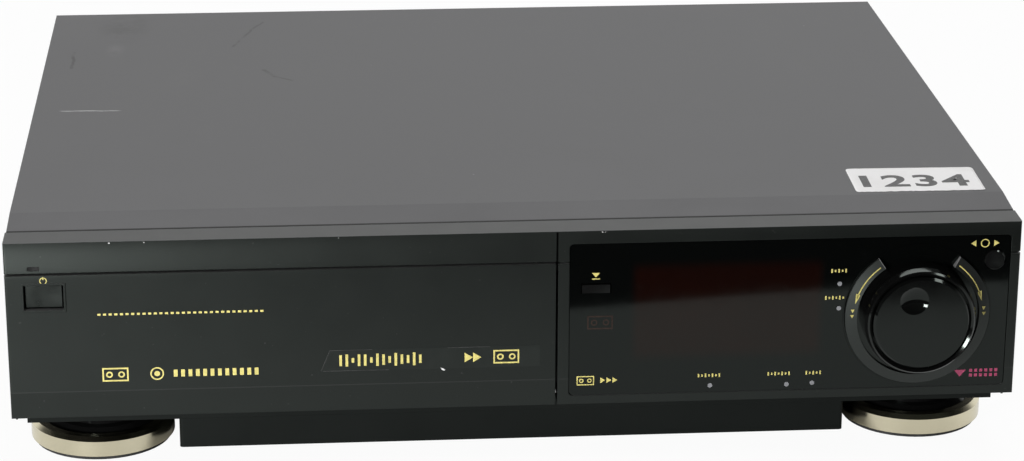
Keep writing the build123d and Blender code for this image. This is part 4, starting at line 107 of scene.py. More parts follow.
# ---------------------------------------------------------------- node helpers
class Nodes:
    """A small builder around one material's node tree."""

    def __init__(self, name):
        self.material = bpy.data.materials.new(name)
        self.material.use_nodes = True
        self.tree = self.material.node_tree
        self.shader = self.tree.nodes["Principled BSDF"]
        coord = self.tree.nodes.new("ShaderNodeTexCoord")
        self.place = coord.outputs["Object"]

    def node(self, kind, **inputs):
        made = self.tree.nodes.new(kind)
        for key, value in inputs.items():
            self.plug(made.inputs[key.replace("_", " ")], value)
        return made

    def plug(self, socket, value):
        if isinstance(value, bpy.types.NodeSocket):
            self.tree.links.new(value, socket)
        else:
            socket.default_value = value

    def math(self, operation, first, second=0.0):
        made = self.tree.nodes.new("ShaderNodeMath")
        made.operation = operation
        self.plug(made.inputs[0], first)
        self.plug(made.inputs[1], second)
        return made.outputs[0]

    def noise(self, scale, detail=3.0, roughness=0.5, stretch=(1, 1, 1), distortion=0.0):
        mapping = self.node("ShaderNodeMapping", Vector=self.place, Scale=stretch)
        made = self.node(
            "ShaderNodeTexNoise",
            Vector=mapping.outputs[0],
            Scale=scale,
            Detail=detail,
            Roughness=roughness,
            Distortion=distortion,
        )
        return made.outputs["Fac"]

    def remap(self, value, low, high, to_low=0.0, to_high=1.0):
        """A soft step from to_low to to_high as the value goes from low to high."""
        made = self.tree.nodes.new("ShaderNodeMapRange")
        made.interpolation_type = "SMOOTHSTEP"
        made.clamp = True
        limits = {"Value": value, "From Min": low, "From Max": high, "To Min": to_low, "To Max": to_high}
        for key, item in limits.items():
            self.plug(made.inputs[key], item)
        return made.outputs["Result"]

    def blend(self, fac, first, second):
        made = self.tree.nodes.new("ShaderNodeMix")
        made.data_type = "RGBA"
        self.plug(made.inputs["Factor"], fac)
        self.plug(made.inputs[6], first)
        self.plug(made.inputs[7], second)
        return made.outputs[2]

    def length(self, first, second):
        """The length of a vector with these two parts."""
        squares = [self.math("MULTIPLY", part, part) for part in (first, second)]
        return self.math("SQRT", self.math("ADD", *squares))

    def axes(self):
        parts = self.node("ShaderNodeSeparateXYZ", Vector=self.place)
        return parts.outputs

    def within(self, value, low, high, soft):
        """1 between low and high, falling to 0 over soft beyond each of them."""
        rise = self.remap(value, low - soft, low)
        fall = self.remap(value, high, high + soft, 1.0, 0.0)
        return self.math("MULTIPLY", rise, fall)

    def specks(self, scale, rarity, size):
        """1 inside rare round specks of dust, 0 elsewhere. Size is a share of a speck's cell."""
        cells = self.node("ShaderNodeTexVoronoi", Vector=self.place, Scale=scale, Randomness=1.0)
        pick = self.node("ShaderNodeSeparateColor", Color=cells.outputs["Color"]).outputs[0]
        rare = self.remap(pick, rarity, rarity + 0.03)
        disc = self.remap(cells.outputs["Distance"], size, size * 1.9, 1.0, 0.0)
        return self.math("MULTIPLY", rare, disc)

    def stroke(self, x, y, first, last, half):
        """1 along a wavering scratch from first to last, both in millimetres."""
        length = math.dist(first, last) * MM
        ux = (last[0] - first[0]) * MM / length
        uy = (last[1] - first[1]) * MM / length
        dx = self.math("SUBTRACT", x, first[0] * MM)
        dy = self.math("SUBTRACT", y, first[1] * MM)
        along = self.math("ADD", self.math("MULTIPLY", dx, ux), self.math("MULTIPLY", dy, uy))
        across = self.math("SUBTRACT", self.math("MULTIPLY", dy, ux), self.math("MULTIPLY", dx, uy))
        waver = self.math("MULTIPLY", self.math("SUBTRACT", self.noise(90.0), 0.5), SCRATCH_WAVER)
        across = self.math("ABSOLUTE", self.math("ADD", across, waver))
        ends = self.within(along, 0.0, length, SCRATCH_FADE)
        return self.math("MULTIPLY", ends, self.remap(across, half * MM, half * 2.5 * MM, 1.0, 0.0))

    def reach(self, x, z):
        """The distance from an axis that runs front to back through (x, z)."""
        across, _, upward = self.axes()
        return self.length(self.math("SUBTRACT", across, x), self.math("SUBTRACT", upward, z))

    def rounded(self, radius):
        """The surface's own direction, softened across its edges."""
        return self.node("ShaderNodeBevel", Radius=radius).outputs["Normal"]

    def bump(self, height, strength, distance, normal=None):
        made = self.node("ShaderNodeBump", Height=height, Strength=strength, Distance=distance)
        if normal is not None:
            self.plug(made.inputs["Normal"], normal)
        return made.outputs["Normal"]


# What is black here mirrors a little greener than neutral, and moulded edges look this round.
BLACK_TINT = (0.93, 1.05, 0.98)
EDGE_SOFT = 0.45 * MM
SCRATCH_WAVER = 3.0 * MM
SCRATCH_FADE = 2.0 * MM


def grey(value, tint=(1.0, 1.0, 1.0)):
    return (value * tint[0], value * tint[1], value * tint[2], 1.0)


def finish_of(name, colour, roughness, metallic=0.0, mottle=0.12, mottle_scale=30.0, rough_swing=0.08,
              grain=0.05, grain_scale=2200.0, grain_height=0.02 * MM, stretch=(1, 1, 1),
              specular=0.5, specular_tint=(1.0, 1.0, 1.0), soft_edges=False):
    """A surface with slow mottling of colour and gloss and a fine grain in relief."""
    n = Nodes(name)
    slow = n.noise(mottle_scale, detail=5.0, roughness=0.6)
    dark = tuple(c * (1 - mottle) for c in colour[:3]) + (1.0,)
    light = tuple(min(1.0, c * (1 + mottle)) for c in colour[:3]) + (1.0,)
    n.plug(n.shader.inputs["Base Color"], n.blend(n.remap(slow, 0.3, 0.7), dark, light))
    cloud = n.noise(mottle_scale * 3, detail=4.0)
    gloss = n.remap(cloud, 0.3, 0.7, roughness - rough_swing, roughness + rough_swing)
    n.plug(n.shader.inputs["Roughness"], gloss)
    n.shader.inputs["Metallic"].default_value = metallic
    n.shader.inputs["Specular IOR Level"].default_value = specular
    n.shader.inputs["Specular Tint"].default_value = specular_tint + (1.0,)
    if grain:
        fine = n.noise(grain_scale, detail=2.0, stretch=stretch)
        soft = n.rounded(EDGE_SOFT) if soft_edges else None
        n.plug(n.shader.inputs["Normal"], n.bump(fine, grain, grain_height, soft))
    return n


# ---------------------------------------------------------------- materials
# In millimetres on the cover's top: a middle (x, y), a reach, a tone and a strength.
COVER_SMUDGES = (
    (-178, 155, 17, 0.060, 0.55),
    (-181, 112, 7, 0.200, 0.40),
    (189, -96, 3, 0.240, 0.35),
)
# In millimetres too: two ends, half a width, a tone and a strength.
COVER_SCRATCHES = (
    ((-201, 8), (-175, 7), 0.35, 0.50, 0.90),
    ((-201, 109), (-201, 81), 0.40, 0.050, 0.75),
    ((-122, 115), (-113, 145), 0.40, 0.050, 0.70),
    ((-113, 145), (-107, 160), 0.35, 0.055, 0.60),
    ((-107, 71), (-101, 60), 0.60, 0.045, 0.75),
    ((-101, 60), (-93, 53), 0.45, 0.045, 0.75),
)
COVER_DARK = grey(0.109, (1.0, 1.0, 1.03))
COVER_LIGHT = grey(0.125, (1.0, 1.0, 1.03))
SMUDGE_SQUASH = 0.45
# Painted shade: over this reach from the cover's front edge its paint turns near black, for the shade in
# the gap behind the front's rim.
GAP_SHADE_START = 1.1 * MM
GAP_SHADE_END = 1.4 * MM


def cover_paint():
    """Grey textured paint on sheet metal, with smudges, dust specks, scratches and painted shade along its
    front edge, where the gap behind the front's rim falls.
    """
    n = Nodes("cover_paint")
    x, y, _ = n.axes()
    smudge = n.noise(9.0, detail=6.0, roughness=0.62, distortion=0.6)
    base = n.blend(n.remap(smudge, 0.32, 0.68), COVER_DARK, COVER_LIGHT)
    streak = n.noise(26.0, detail=5.0, roughness=0.65, stretch=(1.0, 0.25, 1.0), distortion=0.4)
    base = n.blend(n.remap(streak, 0.60, 0.78, 0.0, 0.22), base, grey(0.14))
    base = n.blend(n.math("MULTIPLY", n.specks(75.0, 0.90, 0.018), 0.55), base, grey(0.50))
    patchy = n.remap(n.noise(60.0, detail=5.0, roughness=0.7), 0.35, 0.6)
    for cx, cy, reach, tone, strength in COVER_SMUDGES:
        dx = n.math("SUBTRACT", x, cx * MM)
        dy = n.math("MULTIPLY", n.math("SUBTRACT", y, cy * MM), SMUDGE_SQUASH)
        spot = n.math("MULTIPLY", n.remap(n.length(dx, dy), 0.0, reach * MM, 1.0, 0.0), patchy)
        base = n.blend(n.math("MULTIPLY", spot, strength), base, grey(tone))
    for first, last, half, tone, strength in COVER_SCRATCHES:
        line = n.math("MULTIPLY", n.stroke(x, y, first, last, half), patchy)
        base = n.blend(n.math("MULTIPLY", line, strength), base, grey(tone))
    # Painted shade: the cover's front edge is darkened to near black where the gap to the front falls.
    gap_shade = n.remap(y, COVER_FRONT_Y + GAP_SHADE_START, COVER_FRONT_Y + GAP_SHADE_END, 1.0, 0.0)
    base = n.blend(gap_shade, base, grey(0.008))
    n.plug(n.shader.inputs["Base Color"], base)
    n.plug(n.shader.inputs["Roughness"], n.remap(smudge, 0.3, 0.7, 0.42, 0.47))
    n.shader.inputs["Specular IOR Level"].default_value = 0.4
    fine = n.noise(1500.0, detail=2.0)
    n.plug(n.shader.inputs["Normal"], n.bump(fine, 0.22, 0.05 * MM, n.rounded(EDGE_SOFT)))
    return n.material


MOULDING_TINT = (0.94, 1.10, 1.0)
# Painted sheen: how far faces that look upward turn light grey.
TOP_SHEEN = 0.80
# Half the height of a painted highlight along the chin's crease.
CHIN_HIGHLIGHT_HALF = 0.15 * MM


def front_plastic():
    """Near-black moulding with a fine grain, dust, painted sheen on its upward faces, a painted highlight
    along the chin's crease and an upper band that leans back.
    """
    n = finish_of("front_plastic", grey(0.0034, MOULDING_TINT), 0.43, mottle=0.10, mottle_scale=22.0,
                  rough_swing=0.015, specular=0.31, specular_tint=BLACK_TINT, grain=0.30,
                  grain_scale=1700.0, grain_height=0.05 * MM, soft_edges=True)
    dust = n.noise(420.0, detail=2.0, roughness=0.7)
    base = n.shader.inputs["Base Color"].links[0].from_socket
    base = n.blend(n.remap(dust, 0.70, 0.80, 0.0, 0.10), base, grey(0.25))
    base = n.blend(n.math("MULTIPLY", n.specks(160.0, 0.80, 0.020), 0.5), base, grey(0.16))
    # Painted sheen: faces that look upward are lightened towards a light grey.
    facing = n.node("ShaderNodeNewGeometry").outputs["Normal"]
    upward = n.node("ShaderNodeSeparateXYZ", Vector=facing).outputs[2]
    base = n.blend(n.remap(upward, 0.5, 0.9, 0.0, TOP_SHEEN), base, grey(0.115))
    _, _, z = n.axes()
    # Painted highlight: a thin lighter line along the top of the chin.
    chin_highlight = n.within(z, CHIN_TOP - CHIN_HIGHLIGHT_HALF, CHIN_TOP + CHIN_HIGHLIGHT_HALF, 0.2 * MM)
    base = n.blend(n.math("MULTIPLY", chin_highlight, 0.5), base, grey(0.020))
    n.plug(n.shader.inputs["Base Color"], base)
    lean = n.remap(z, BAND_LOW, PANEL_TOP, 1.0, 0.0)
    relief = n.shader.inputs["Normal"].links[0].from_socket
    fall = BAND_LEAN * (PANEL_TOP - BAND_LOW)
    n.plug(n.shader.inputs["Normal"], n.bump(lean, 1.0, fall, relief))
    return n.material


# The display's reach behind the window: from x to x, and from a drop to a drop below the panel's top.
DISPLAY_X = (52 * MM, 127 * MM)
DISPLAY_DROP = (54 * MM, 20 * MM)
DISPLAY_RED = (0.0060, 0.0016, 0.0010, 1.0)


def window_gloss():
    """Smoked acrylic: black behind, dark red where the display shows through."""
    n = Nodes("window")
    x, _, z = n.axes()
    across = n.within(x, *DISPLAY_X, 5 * MM)
    upward = n.within(z, PANEL_TOP - DISPLAY_DROP[0], PANEL_TOP - DISPLAY_DROP[1], 7 * MM)
    red = n.math("MULTIPLY", across, upward)
    cloud = n.noise(45.0, detail=3.0)
    red = n.math("MULTIPLY", red, n.remap(cloud, 0.2, 0.8, 0.75, 1.0))
    base = n.blend(red, grey(0.0016, (0.9, 1.05, 1.0)), DISPLAY_RED)
    haze = n.noise(160.0, detail=5.0, roughness=0.7)
    base = n.blend(n.remap(haze, 0.62, 0.85, 0.0, 0.012), base, grey(0.4))
    n.plug(n.shader.inputs["Base Color"], base)
    n.plug(n.shader.inputs["Roughness"], n.remap(haze, 0.4, 0.8, 0.060, 0.095))
    n.shader.inputs["Specular IOR Level"].default_value = 0.25
    n.shader.inputs["Specular Tint"].default_value = BLACK_TINT + (1.0,)
    return n.material


WING_TINT = (0.97, 1.04, 1.0)


def ring_gloss():
    """The shuttle ring: glossy black nose ring, satin grey wings whose ends are lightened as a painted
    highlight.
    """
    n = Nodes("dial_gloss")
    radius = n.reach(DIAL_X, DIAL_Z)
    wing = n.remap(radius, WING_START - 0.2 * MM, WING_START + 0.2 * MM)
    wear = n.noise(60.0, detail=4.0)
    nose = n.blend(wear, grey(0.0020), grey(0.0035))
    satin = n.blend(wear, grey(0.010, WING_TINT), grey(0.013, WING_TINT))
    across, _, upward = n.axes()
    aside = n.math("ABSOLUTE", n.math("SUBTRACT", across, DIAL_X))
    turn = n.math("ARCTAN2", aside, n.math("SUBTRACT", upward, DIAL_Z))
    # Painted highlight: near the top, where the wings end, the satin is lightened to grey.
    end = n.math("MULTIPLY", wing, n.math("LESS_THAN", turn, WING_END))
    satin = n.blend(end, satin, grey(0.16))
    n.plug(n.shader.inputs["Base Color"], n.blend(wing, nose, satin))
    dull = n.remap(wear, 0.3, 0.7, 0.36, 0.42)
    sheen = n.remap(wear, 0.3, 0.7, 0.07, 0.12)
    on_nose = n.math("MULTIPLY", n.math("SUBTRACT", 1.0, wing), sheen)
    rough = n.math("ADD", n.math("MULTIPLY", wing, dull), on_nose)
    n.plug(n.shader.inputs["Roughness"], rough)
    n.shader.inputs["Specular IOR Level"].default_value = 0.3
    n.shader.inputs["Specular Tint"].default_value = BLACK_TINT + (1.0,)
    return n.material


LATHE_RINGS = 14000.0


def jog_face():
    """The jog disc: gloss black, its face a little duller than its rim and its dimple."""
    n = Nodes("jog_face")
    radius = n.reach(DIAL_X, DIAL_Z)
    lathe = n.math("SINE", n.math("MULTIPLY", radius, LATHE_RINGS))
    wear = n.noise(70.0, detail=4.0)
    n.plug(n.shader.inputs["Base Color"], n.blend(wear, grey(0.0018), grey(0.0030, (0.96, 1.06, 1))))
    rim = n.remap(radius, JOG_RIM - 0.4 * MM, JOG_RIM)
    from_dimple = n.reach(DIMPLE_X, DIMPLE_Z)
    hollow = n.remap(from_dimple, DIMPLE_REACH - 0.3 * MM, DIMPLE_REACH, 1.0, 0.0)
    glossy = n.math("MAXIMUM", rim, hollow)
    face = n.remap(wear, 0.3, 0.7, 0.11, 0.15)
    rough = n.math("SUBTRACT", face, n.math("MULTIPLY", glossy, 0.06))
    n.plug(n.shader.inputs["Roughness"], rough)
    n.plug(n.shader.inputs["Normal"], n.bump(lathe, 0.02, 0.005 * MM))
    n.shader.inputs["Specular IOR Level"].default_value = 0.26
    n.shader.inputs["Specular Tint"].default_value = BLACK_TINT + (1.0,)
    return n.material


def champagne():
    """Lathe-turned aluminium under a champagne lacquer."""
    n = Nodes("champagne")
    fine = n.noise(300.0, detail=4.0, roughness=0.7, stretch=(0.1, 0.1, 10.0))
    slow = n.noise(25.0, detail=3.0)
    colour = n.blend(n.remap(slow, 0.3, 0.7), (0.60, 0.555, 0.405, 1), (0.70, 0.65, 0.48, 1))
    n.plug(n.shader.inputs["Base Color"], colour)
    n.shader.inputs["Metallic"].default_value = 1.0
    n.plug(n.shader.inputs["Roughness"], n.remap(fine, 0.3, 0.7, 0.17, 0.22))
    n.plug(n.shader.inputs["Normal"], n.bump(fine, 0.04, 0.01 * MM))
    return n.material


def lens():
    """Frosted grey lamp lenses on the window, and a smoked one over the power key."""
    n = Nodes("lens")
    x, _, _ = n.axes()
    left = n.remap(x, -2 * MM, 2 * MM, 1.0, 0.0)
    cloud = n.noise(300.0, detail=3.0)
    cool = (0.98, 1.0, 1.06)
    frosted = n.blend(cloud, grey(0.17, cool), grey(0.24, cool))
    smoked = n.blend(cloud, grey(0.010), grey(0.016))
    n.plug(n.shader.inputs["Base Color"], n.blend(left, frosted, smoked))
    n.plug(n.shader.inputs["Roughness"], n.remap(cloud, 0.3, 0.7, 0.18, 0.28))
    return n.material


# The rear sockets come in pairs, one above the other: a middle height and half the pitch. The phono
# pairs are listed with their place across, in millimetres, and the colour of their inserts.
PHONO_COLOURS = ((50.0, (0.62, 0.42, 0.03, 1)), (34.0, grey(0.55)), (18.0, (0.42, 0.02, 0.02, 1)))
PHONO_MIDDLE = 70.0 * MM
PHONO_HALF_PITCH = 8.0 * MM
PHONO_INSERT = 3.2 * MM
PHONO_SHELL = 4.4 * MM
AERIAL_X = 91.0 * MM
AERIAL_MIDDLE = 59.0 * MM
AERIAL_HALF_PITCH = 11.0 * MM
AERIAL_SHELL = 5.2 * MM
SOCKET_DEPTH = 4.0 * MM


def sockets():
    """Black sockets at the rear; the phono and aerial ones have metal shells and coloured inserts."""
    n = Nodes("sockets")
    x, y, z = n.axes()
    outside = n.math("GREATER_THAN", y, REAR_Y - SOCKET_DEPTH)
    wear = n.noise(240.0, detail=4.0)
    metal_tone = n.blend(wear, grey(0.50), grey(0.62))
    base = n.blend(wear, grey(0.013), grey(0.019))
    shells = None

    def pair_reach(cx, middle, half_pitch):
        dx = n.math("SUBTRACT", x, cx)
        dz = n.math("SUBTRACT", n.math("ABSOLUTE", n.math("SUBTRACT", z, middle)), half_pitch)
        return n.length(dx, dz)

    rounds = [(cx * MM, PHONO_MIDDLE, PHONO_HALF_PITCH, PHONO_SHELL) for cx, _ in PHONO_COLOURS]
    rounds.append((AERIAL_X, AERIAL_MIDDLE, AERIAL_HALF_PITCH, AERIAL_SHELL))
    for cx, middle, half_pitch, outer in rounds:
        near = n.math("LESS_THAN", pair_reach(cx, middle, half_pitch), outer)
        shell = n.math("MULTIPLY", near, outside)
        shells = shell if shells is None else n.math("MAXIMUM", shells, shell)
    base = n.blend(shells, base, metal_tone)
    for cx, colour in PHONO_COLOURS:
        near = n.math("LESS_THAN", pair_reach(cx * MM, PHONO_MIDDLE, PHONO_HALF_PITCH), PHONO_INSERT)
        insert = n.math("MULTIPLY", near, outside)
        base = n.blend(insert, base, colour)
        shells = n.math("MULTIPLY", shells, n.math("SUBTRACT", 1.0, insert))
    n.plug(n.shader.inputs["Base Color"], base)
    n.plug(n.shader.inputs["Metallic"], shells)
    n.plug(n.shader.inputs["Roughness"], n.remap(wear, 0.3, 0.7, 0.32, 0.42))
    return n.material


def make_materials():
    """Every finish by its slot's name: the ones with a function of their own, then the plain ones."""
    made = {
        "cover_paint": cover_paint(),
        "front_plastic": front_plastic(),
        "window": window_gloss(),
        "dial_gloss": jog_face(),
        "dial_plastic": ring_gloss(),
        "champagne": champagne(),
        "lens": lens(),
        "sockets": sockets(),
        "paper": paper(),
    }
    plain = {
        "zinc_sheet": dict(colour=grey(0.55, (1.0, 1.0, 0.97)), roughness=0.38, metallic=1.0, mottle=0.12,
                           mottle_scale=60, grain=0.1, grain_scale=700),
        "black_paint": dict(colour=grey(0.0050, (0.94, 1.08, 1.02)), roughness=0.50, specular=0.11,
                            specular_tint=BLACK_TINT, grain=0.2, grain_scale=1500, mottle_scale=18,
                            soft_edges=True),
        "rubber": dict(colour=grey(0.012), roughness=0.78, grain=0.2, grain_scale=1200, mottle=0.2),
        "gloss_black": dict(colour=grey(0.005), roughness=0.12, specular=0.4, specular_tint=BLACK_TINT,
                            grain=0.04, mottle=0.15),
        "board_plastic": dict(colour=grey(0.02), roughness=0.5, grain=0.15, mottle=0.2, mottle_scale=80),
        "circuit_board": dict(colour=(0.20, 0.12, 0.04, 1), roughness=0.5, grain=0.1, mottle=0.15),
        "tube_glass": dict(colour=(0.05, 0.06, 0.06, 1), roughness=0.06, grain=0.0, mottle=0.2),
        "steel": dict(colour=grey(0.5), roughness=0.28, metallic=1.0, grain=0.08, stretch=(1, 1, 12)),
        "drum_metal": dict(colour=grey(0.72), roughness=0.22, metallic=1.0, grain=0.12, grain_scale=500,
                           stretch=(0.1, 0.1, 14)),
        "brass": dict(colour=(0.62, 0.45, 0.19, 1), roughness=0.3, metallic=1.0, grain=0.08),
        "head_metal": dict(colour=grey(0.7), roughness=0.14, metallic=1.0, grain=0.03),
        "key_plastic": dict(colour=grey(0.0070, (0.95, 1.08, 1.0)), roughness=0.34, specular=0.4,
                            specular_tint=BLACK_TINT, grain=0.12, grain_scale=1700),
        "gear_plastic": dict(colour=grey(0.66, (1.0, 1.0, 0.96)), roughness=0.4, grain=0.06, mottle=0.05),
        "gold_print": dict(colour=(0.56, 0.49, 0.15, 1), roughness=0.45, mottle=0.15, mottle_scale=400,
                           grain=0.1),
        "pink_print": dict(colour=(0.30, 0.035, 0.095, 1), roughness=0.45, mottle=0.15, mottle_scale=400,
                           grain=0.1),
        "ghost_print": dict(colour=(0.016, 0.0075, 0.0045, 1), roughness=0.10, mottle=0.3,
                            mottle_scale=500, grain=0.0, specular=0.26),
        "strip": dict(colour=grey(0.0060, MOULDING_TINT), roughness=0.36, mottle=0.12, mottle_scale=70,
                      grain=0.06, specular=0.33, specular_tint=BLACK_TINT),
        "strip_edge": dict(colour=grey(0.045), roughness=0.4, mottle=0.6, mottle_scale=260, grain=0.1),
        "label_ink": dict(colour=grey(0.13), roughness=0.6, mottle=0.3, mottle_scale=900, grain=0.1),
        "seam_black": dict(colour=grey(0.0006), roughness=0.85, mottle=0.1, grain=0.05, specular=0.03),
        "chip": dict(colour=grey(0.62), roughness=0.5, mottle=0.25, mottle_scale=900, grain=0.1),
    }
    for name, values in plain.items():
        made[name] = finish_of(name, **values).material
    return made


def paper():
    """White label paper with faint fibres and a few faint stains."""
    n = Nodes("paper")
    fibre = n.noise(1500.0, detail=4.0, roughness=0.7, stretch=(1.0, 0.35, 1.0))
    stain = n.noise(45.0, detail=5.0, roughness=0.6)
    clean = grey(0.92, (1.0, 0.99, 0.99))
    stained = grey(0.80, (1.0, 0.985, 0.96))
    base = n.blend(n.remap(stain, 0.45, 0.75, 0.0, 0.4), clean, stained)
    base = n.blend(n.remap(fibre, 0.55, 0.75, 0.0, 0.12), base, grey(0.5))
    n.plug(n.shader.inputs["Base Color"], base)
    n.shader.inputs["Roughness"].default_value = 0.75
    n.plug(n.shader.inputs["Normal"], n.bump(fibre, 0.25, 0.04 * MM))
    return n.material


# ---------------------------------------------------------------- mesh helpers
def new_piece(name, mesh, material, body):
    piece = bpy.data.objects.new(name, mesh)
    bpy.context.collection.objects.link(piece)
    mesh.materials.clear()
    mesh.materials.append(material)
    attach(piece, body)
    return piece


def front_print(name, outlines, body, y, material, thickness=PRINT_THICKNESS):
    """Flat shapes on the front: each outline is a list of (x, z), raised by a print's thickness."""
    made = bmesh.new()
    for outline in outlines:
        low = [made.verts.new((x, y, z)) for x, z in outline]
        face = made.faces.new(low)
        raised = bmesh.ops.extrude_face_region(made, geom=[face])["geom"]
        verts = [item for item in raised if isinstance(item, bmesh.types.BMVert)]
        bmesh.ops.translate(made, verts=verts, vec=(0, -thickness, 0))
    bmesh.ops.recalc_face_normals(made, faces=made.faces)
    mesh = bpy.data.meshes.new(name)
    made.to_mesh(mesh)
    made.free()
    return new_piece(name, mesh, material, body)


def bar_outline(x0, x1, z0, z1):
    return [(x0, z0), (x1, z0), (x1, z1), (x0, z1)]


def ring_outlines(cx, cz, outer, inner, parts=32):
    """A ring as short quads, so that each outline stays a simple polygon."""
    quads = []
    for index in range(parts):
        a = 2 * math.pi * index / parts
        b = 2 * math.pi * (index + 1) / parts
        quads.append([
            (cx + outer * math.cos(a), cz + outer * math.sin(a)),
            (cx + outer * math.cos(b), cz + outer * math.sin(b)),
            (cx + inner * math.cos(b), cz + inner * math.sin(b)),
            (cx + inner * math.cos(a), cz + inner * math.sin(a)),
        ])
    return quads


# ---------------------------------------------------------------- pieces on the case
LABEL_CENTRE = (179.5 * MM, -120.5 * MM)
LABEL_SIZE = (57.0 * MM, 33.0 * MM)
LABEL_TURN = -1.2
LABEL_CORNER = 2.2 * MM
LABEL_GRID = (48, 28)
LABEL_LIFT = 0.06 * MM
LABEL_CURL = 0.2 * MM
LABEL_RIPPLE = 0.01 * MM
LABEL_THICKNESS = 0.05 * MM
DIGITS = "1234"
DIGITS_SIZE = 21.3 * MM
DIGITS_SHIFT = (-2.5 * MM, -2.6 * MM)
DIGITS_LIFT = 0.11 * MM
DIGITS_WEIGHT = 0.55 * MM
DIGITS_RELIEF = 0.02 * MM
DIGITS_SPACING = 1.12
DIGITS_WIDEN = 1.12
# The cover's flat starts behind its front slope, and falls towards the rear.
COVER_SLOPE_Y = FRONT_Y + 35.5 * MM
COVER_FALL = 0.5 * MM


def cover_height(y):
    """The height of the cover's flat at a depth y: it falls a little towards the rear."""
    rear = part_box("top_cover")[1].y
    share = (y - COVER_SLOPE_Y) / (rear - COVER_SLOPE_Y)
    return COVER_TOP - COVER_FALL * max(0.0, share)


def lot_label(materials):
    """A paper label with round corners; its lower edge is uneven and has lifted a little."""
    random.seed(SEED)
    columns, rows = LABEL_GRID
    width, depth = LABEL_SIZE
    turn = Matrix.Rotation(math.radians(LABEL_TURN), 3, "Z")
    centre = Vector((LABEL_CENTRE[0], LABEL_CENTRE[1], 0))
    corner = LABEL_CORNER
    tear = [random.uniform(0.0, 1.0) for _ in range(columns + 1)]
    made = bmesh.new()
    grid = []
    for j in range(rows + 1):
        line = []
        for i in range(columns + 1):
            u = i / columns - 0.5
            v = j / rows - 0.5
            x = u * width
            y = v * depth
            if v < -0.49:
                y += (0.5 + tear[i]) * 0.5 * MM
            over_x = max(0.0, abs(x) - (width / 2 - corner))
            over_y = max(0.0, abs(y) - (depth / 2 - corner))
            reach = math.hypot(over_x, over_y)
            if over_x > 0 and over_y > 0 and reach > corner:
                x -= math.copysign(over_x * (1 - corner / reach), x)
                y -= math.copysign(over_y * (1 - corner / reach), y)
            front = max(0.0, -v - 0.36) / 0.14
            lift = LABEL_LIFT
            lift += LABEL_CURL * front * front * (0.25 + 0.75 * max(0.0, u + 0.5))
            lift += LABEL_RIPPLE * math.sin(38 * u + 9 * v) * math.cos(17 * v)
            point = turn @ Vector((x, y, 0)) + centre
            line.append(made.verts.new((point.x, point.y, cover_height(point.y) + lift)))
        grid.append(line)
    for j in range(rows):
        for i in range(columns):
            made.faces.new((grid[j][i], grid[j][i + 1], grid[j + 1][i + 1], grid[j + 1][i]))
    mesh = bpy.data.meshes.new("lot_label")
    made.to_mesh(mesh)
    made.free()
    label = new_piece("lot_label", mesh, materials["paper"], "case")
    solid = label.modifiers.new("thickness", "SOLIDIFY")
    solid.thickness = LABEL_THICKNESS
    solid.offset = -1
    for polygon in mesh.polygons:
        polygon.use_smooth = True


def lot_digits(materials):
    """Generic digits printed on the label."""
    text = bpy.data.curves.new("lot_digits", "FONT")
    text.body = DIGITS
    text.size = DIGITS_SIZE
    text.align_x = "CENTER"
    text.align_y = "CENTER"
    text.offset = DIGITS_WEIGHT
    text.extrude = DIGITS_RELIEF
    text.space_character = DIGITS_SPACING
    digits = bpy.data.objects.new("lot_digits", text)
    bpy.context.collection.objects.link(digits)
    widen = Matrix.Diagonal((DIGITS_WIDEN, 1.0, 1.0, 1.0))
    turn = Matrix.Rotation(math.radians(LABEL_TURN), 4, "Z")
    x, y = LABEL_CENTRE
    place = Vector((x + DIGITS_SHIFT[0], y + DIGITS_SHIFT[1], cover_height(y) + DIGITS_LIFT))
    digits.matrix_world = Matrix.Translation(place) @ turn @ widen
    text.materials.append(materials["label_ink"])
    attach(digits, "case")


# Knocks along the front's upper edge, in millimetres: a place across and a size.
CHIP_DROP = 0.55 * MM
CHIPS = ((-171.0, 0.8), (-156.5, 0.6), (-75.5, 0.5), (35.5, 0.6), (36.8, 0.35))


def edge_chips(materials):
    """Small white knocks along the front's upper edge."""
    random.seed(SEED + 1)
    outlines = []
    for x, size in CHIPS:
        spots = []
        for step in range(7):
            angle = 2 * math.pi * step / 7
            reach = size * random.uniform(0.35, 0.75) * MM
            spots.append((x * MM + reach * math.cos(angle),
                          PANEL_TOP - CHIP_DROP + 0.6 * reach * math.sin(angle)))
        outlines.append(spots)
    front_print("edge_chips", outlines, "case", FRONT_Y, materials["chip"])


SEAM_HALF = 0.42 * MM
SEAM_THICKNESS = 0.02 * MM


def band_seam(materials):
    """The joint between the two halves of the upper band, in line with the flap's right edge."""
    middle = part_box("front_flap")[1].x + 0.5 * MM
    line = bar_outline(middle - SEAM_HALF, middle + SEAM_HALF, BAND_LOW - 1.2 * MM, PANEL_TOP - 0.3 * MM)
    front_print("band_seam", [line], "case", FRONT_Y, materials["seam_black"],
                SEAM_THICKNESS)


# ---------------------------------------------------------------- prints on the front
def triangle(x, z, size, pointing):
    """A small solid triangle, pointing -1 left, 1 right or 0 down."""
    if pointing == 0:
        return [(x - size, z + size * 0.6), (x, z - size * 0.6), (x + size, z + size * 0.6)]
    deep = pointing * size * 0.8
    return [(x - deep, z + size), (x + deep, z), (x - deep, z - size)]


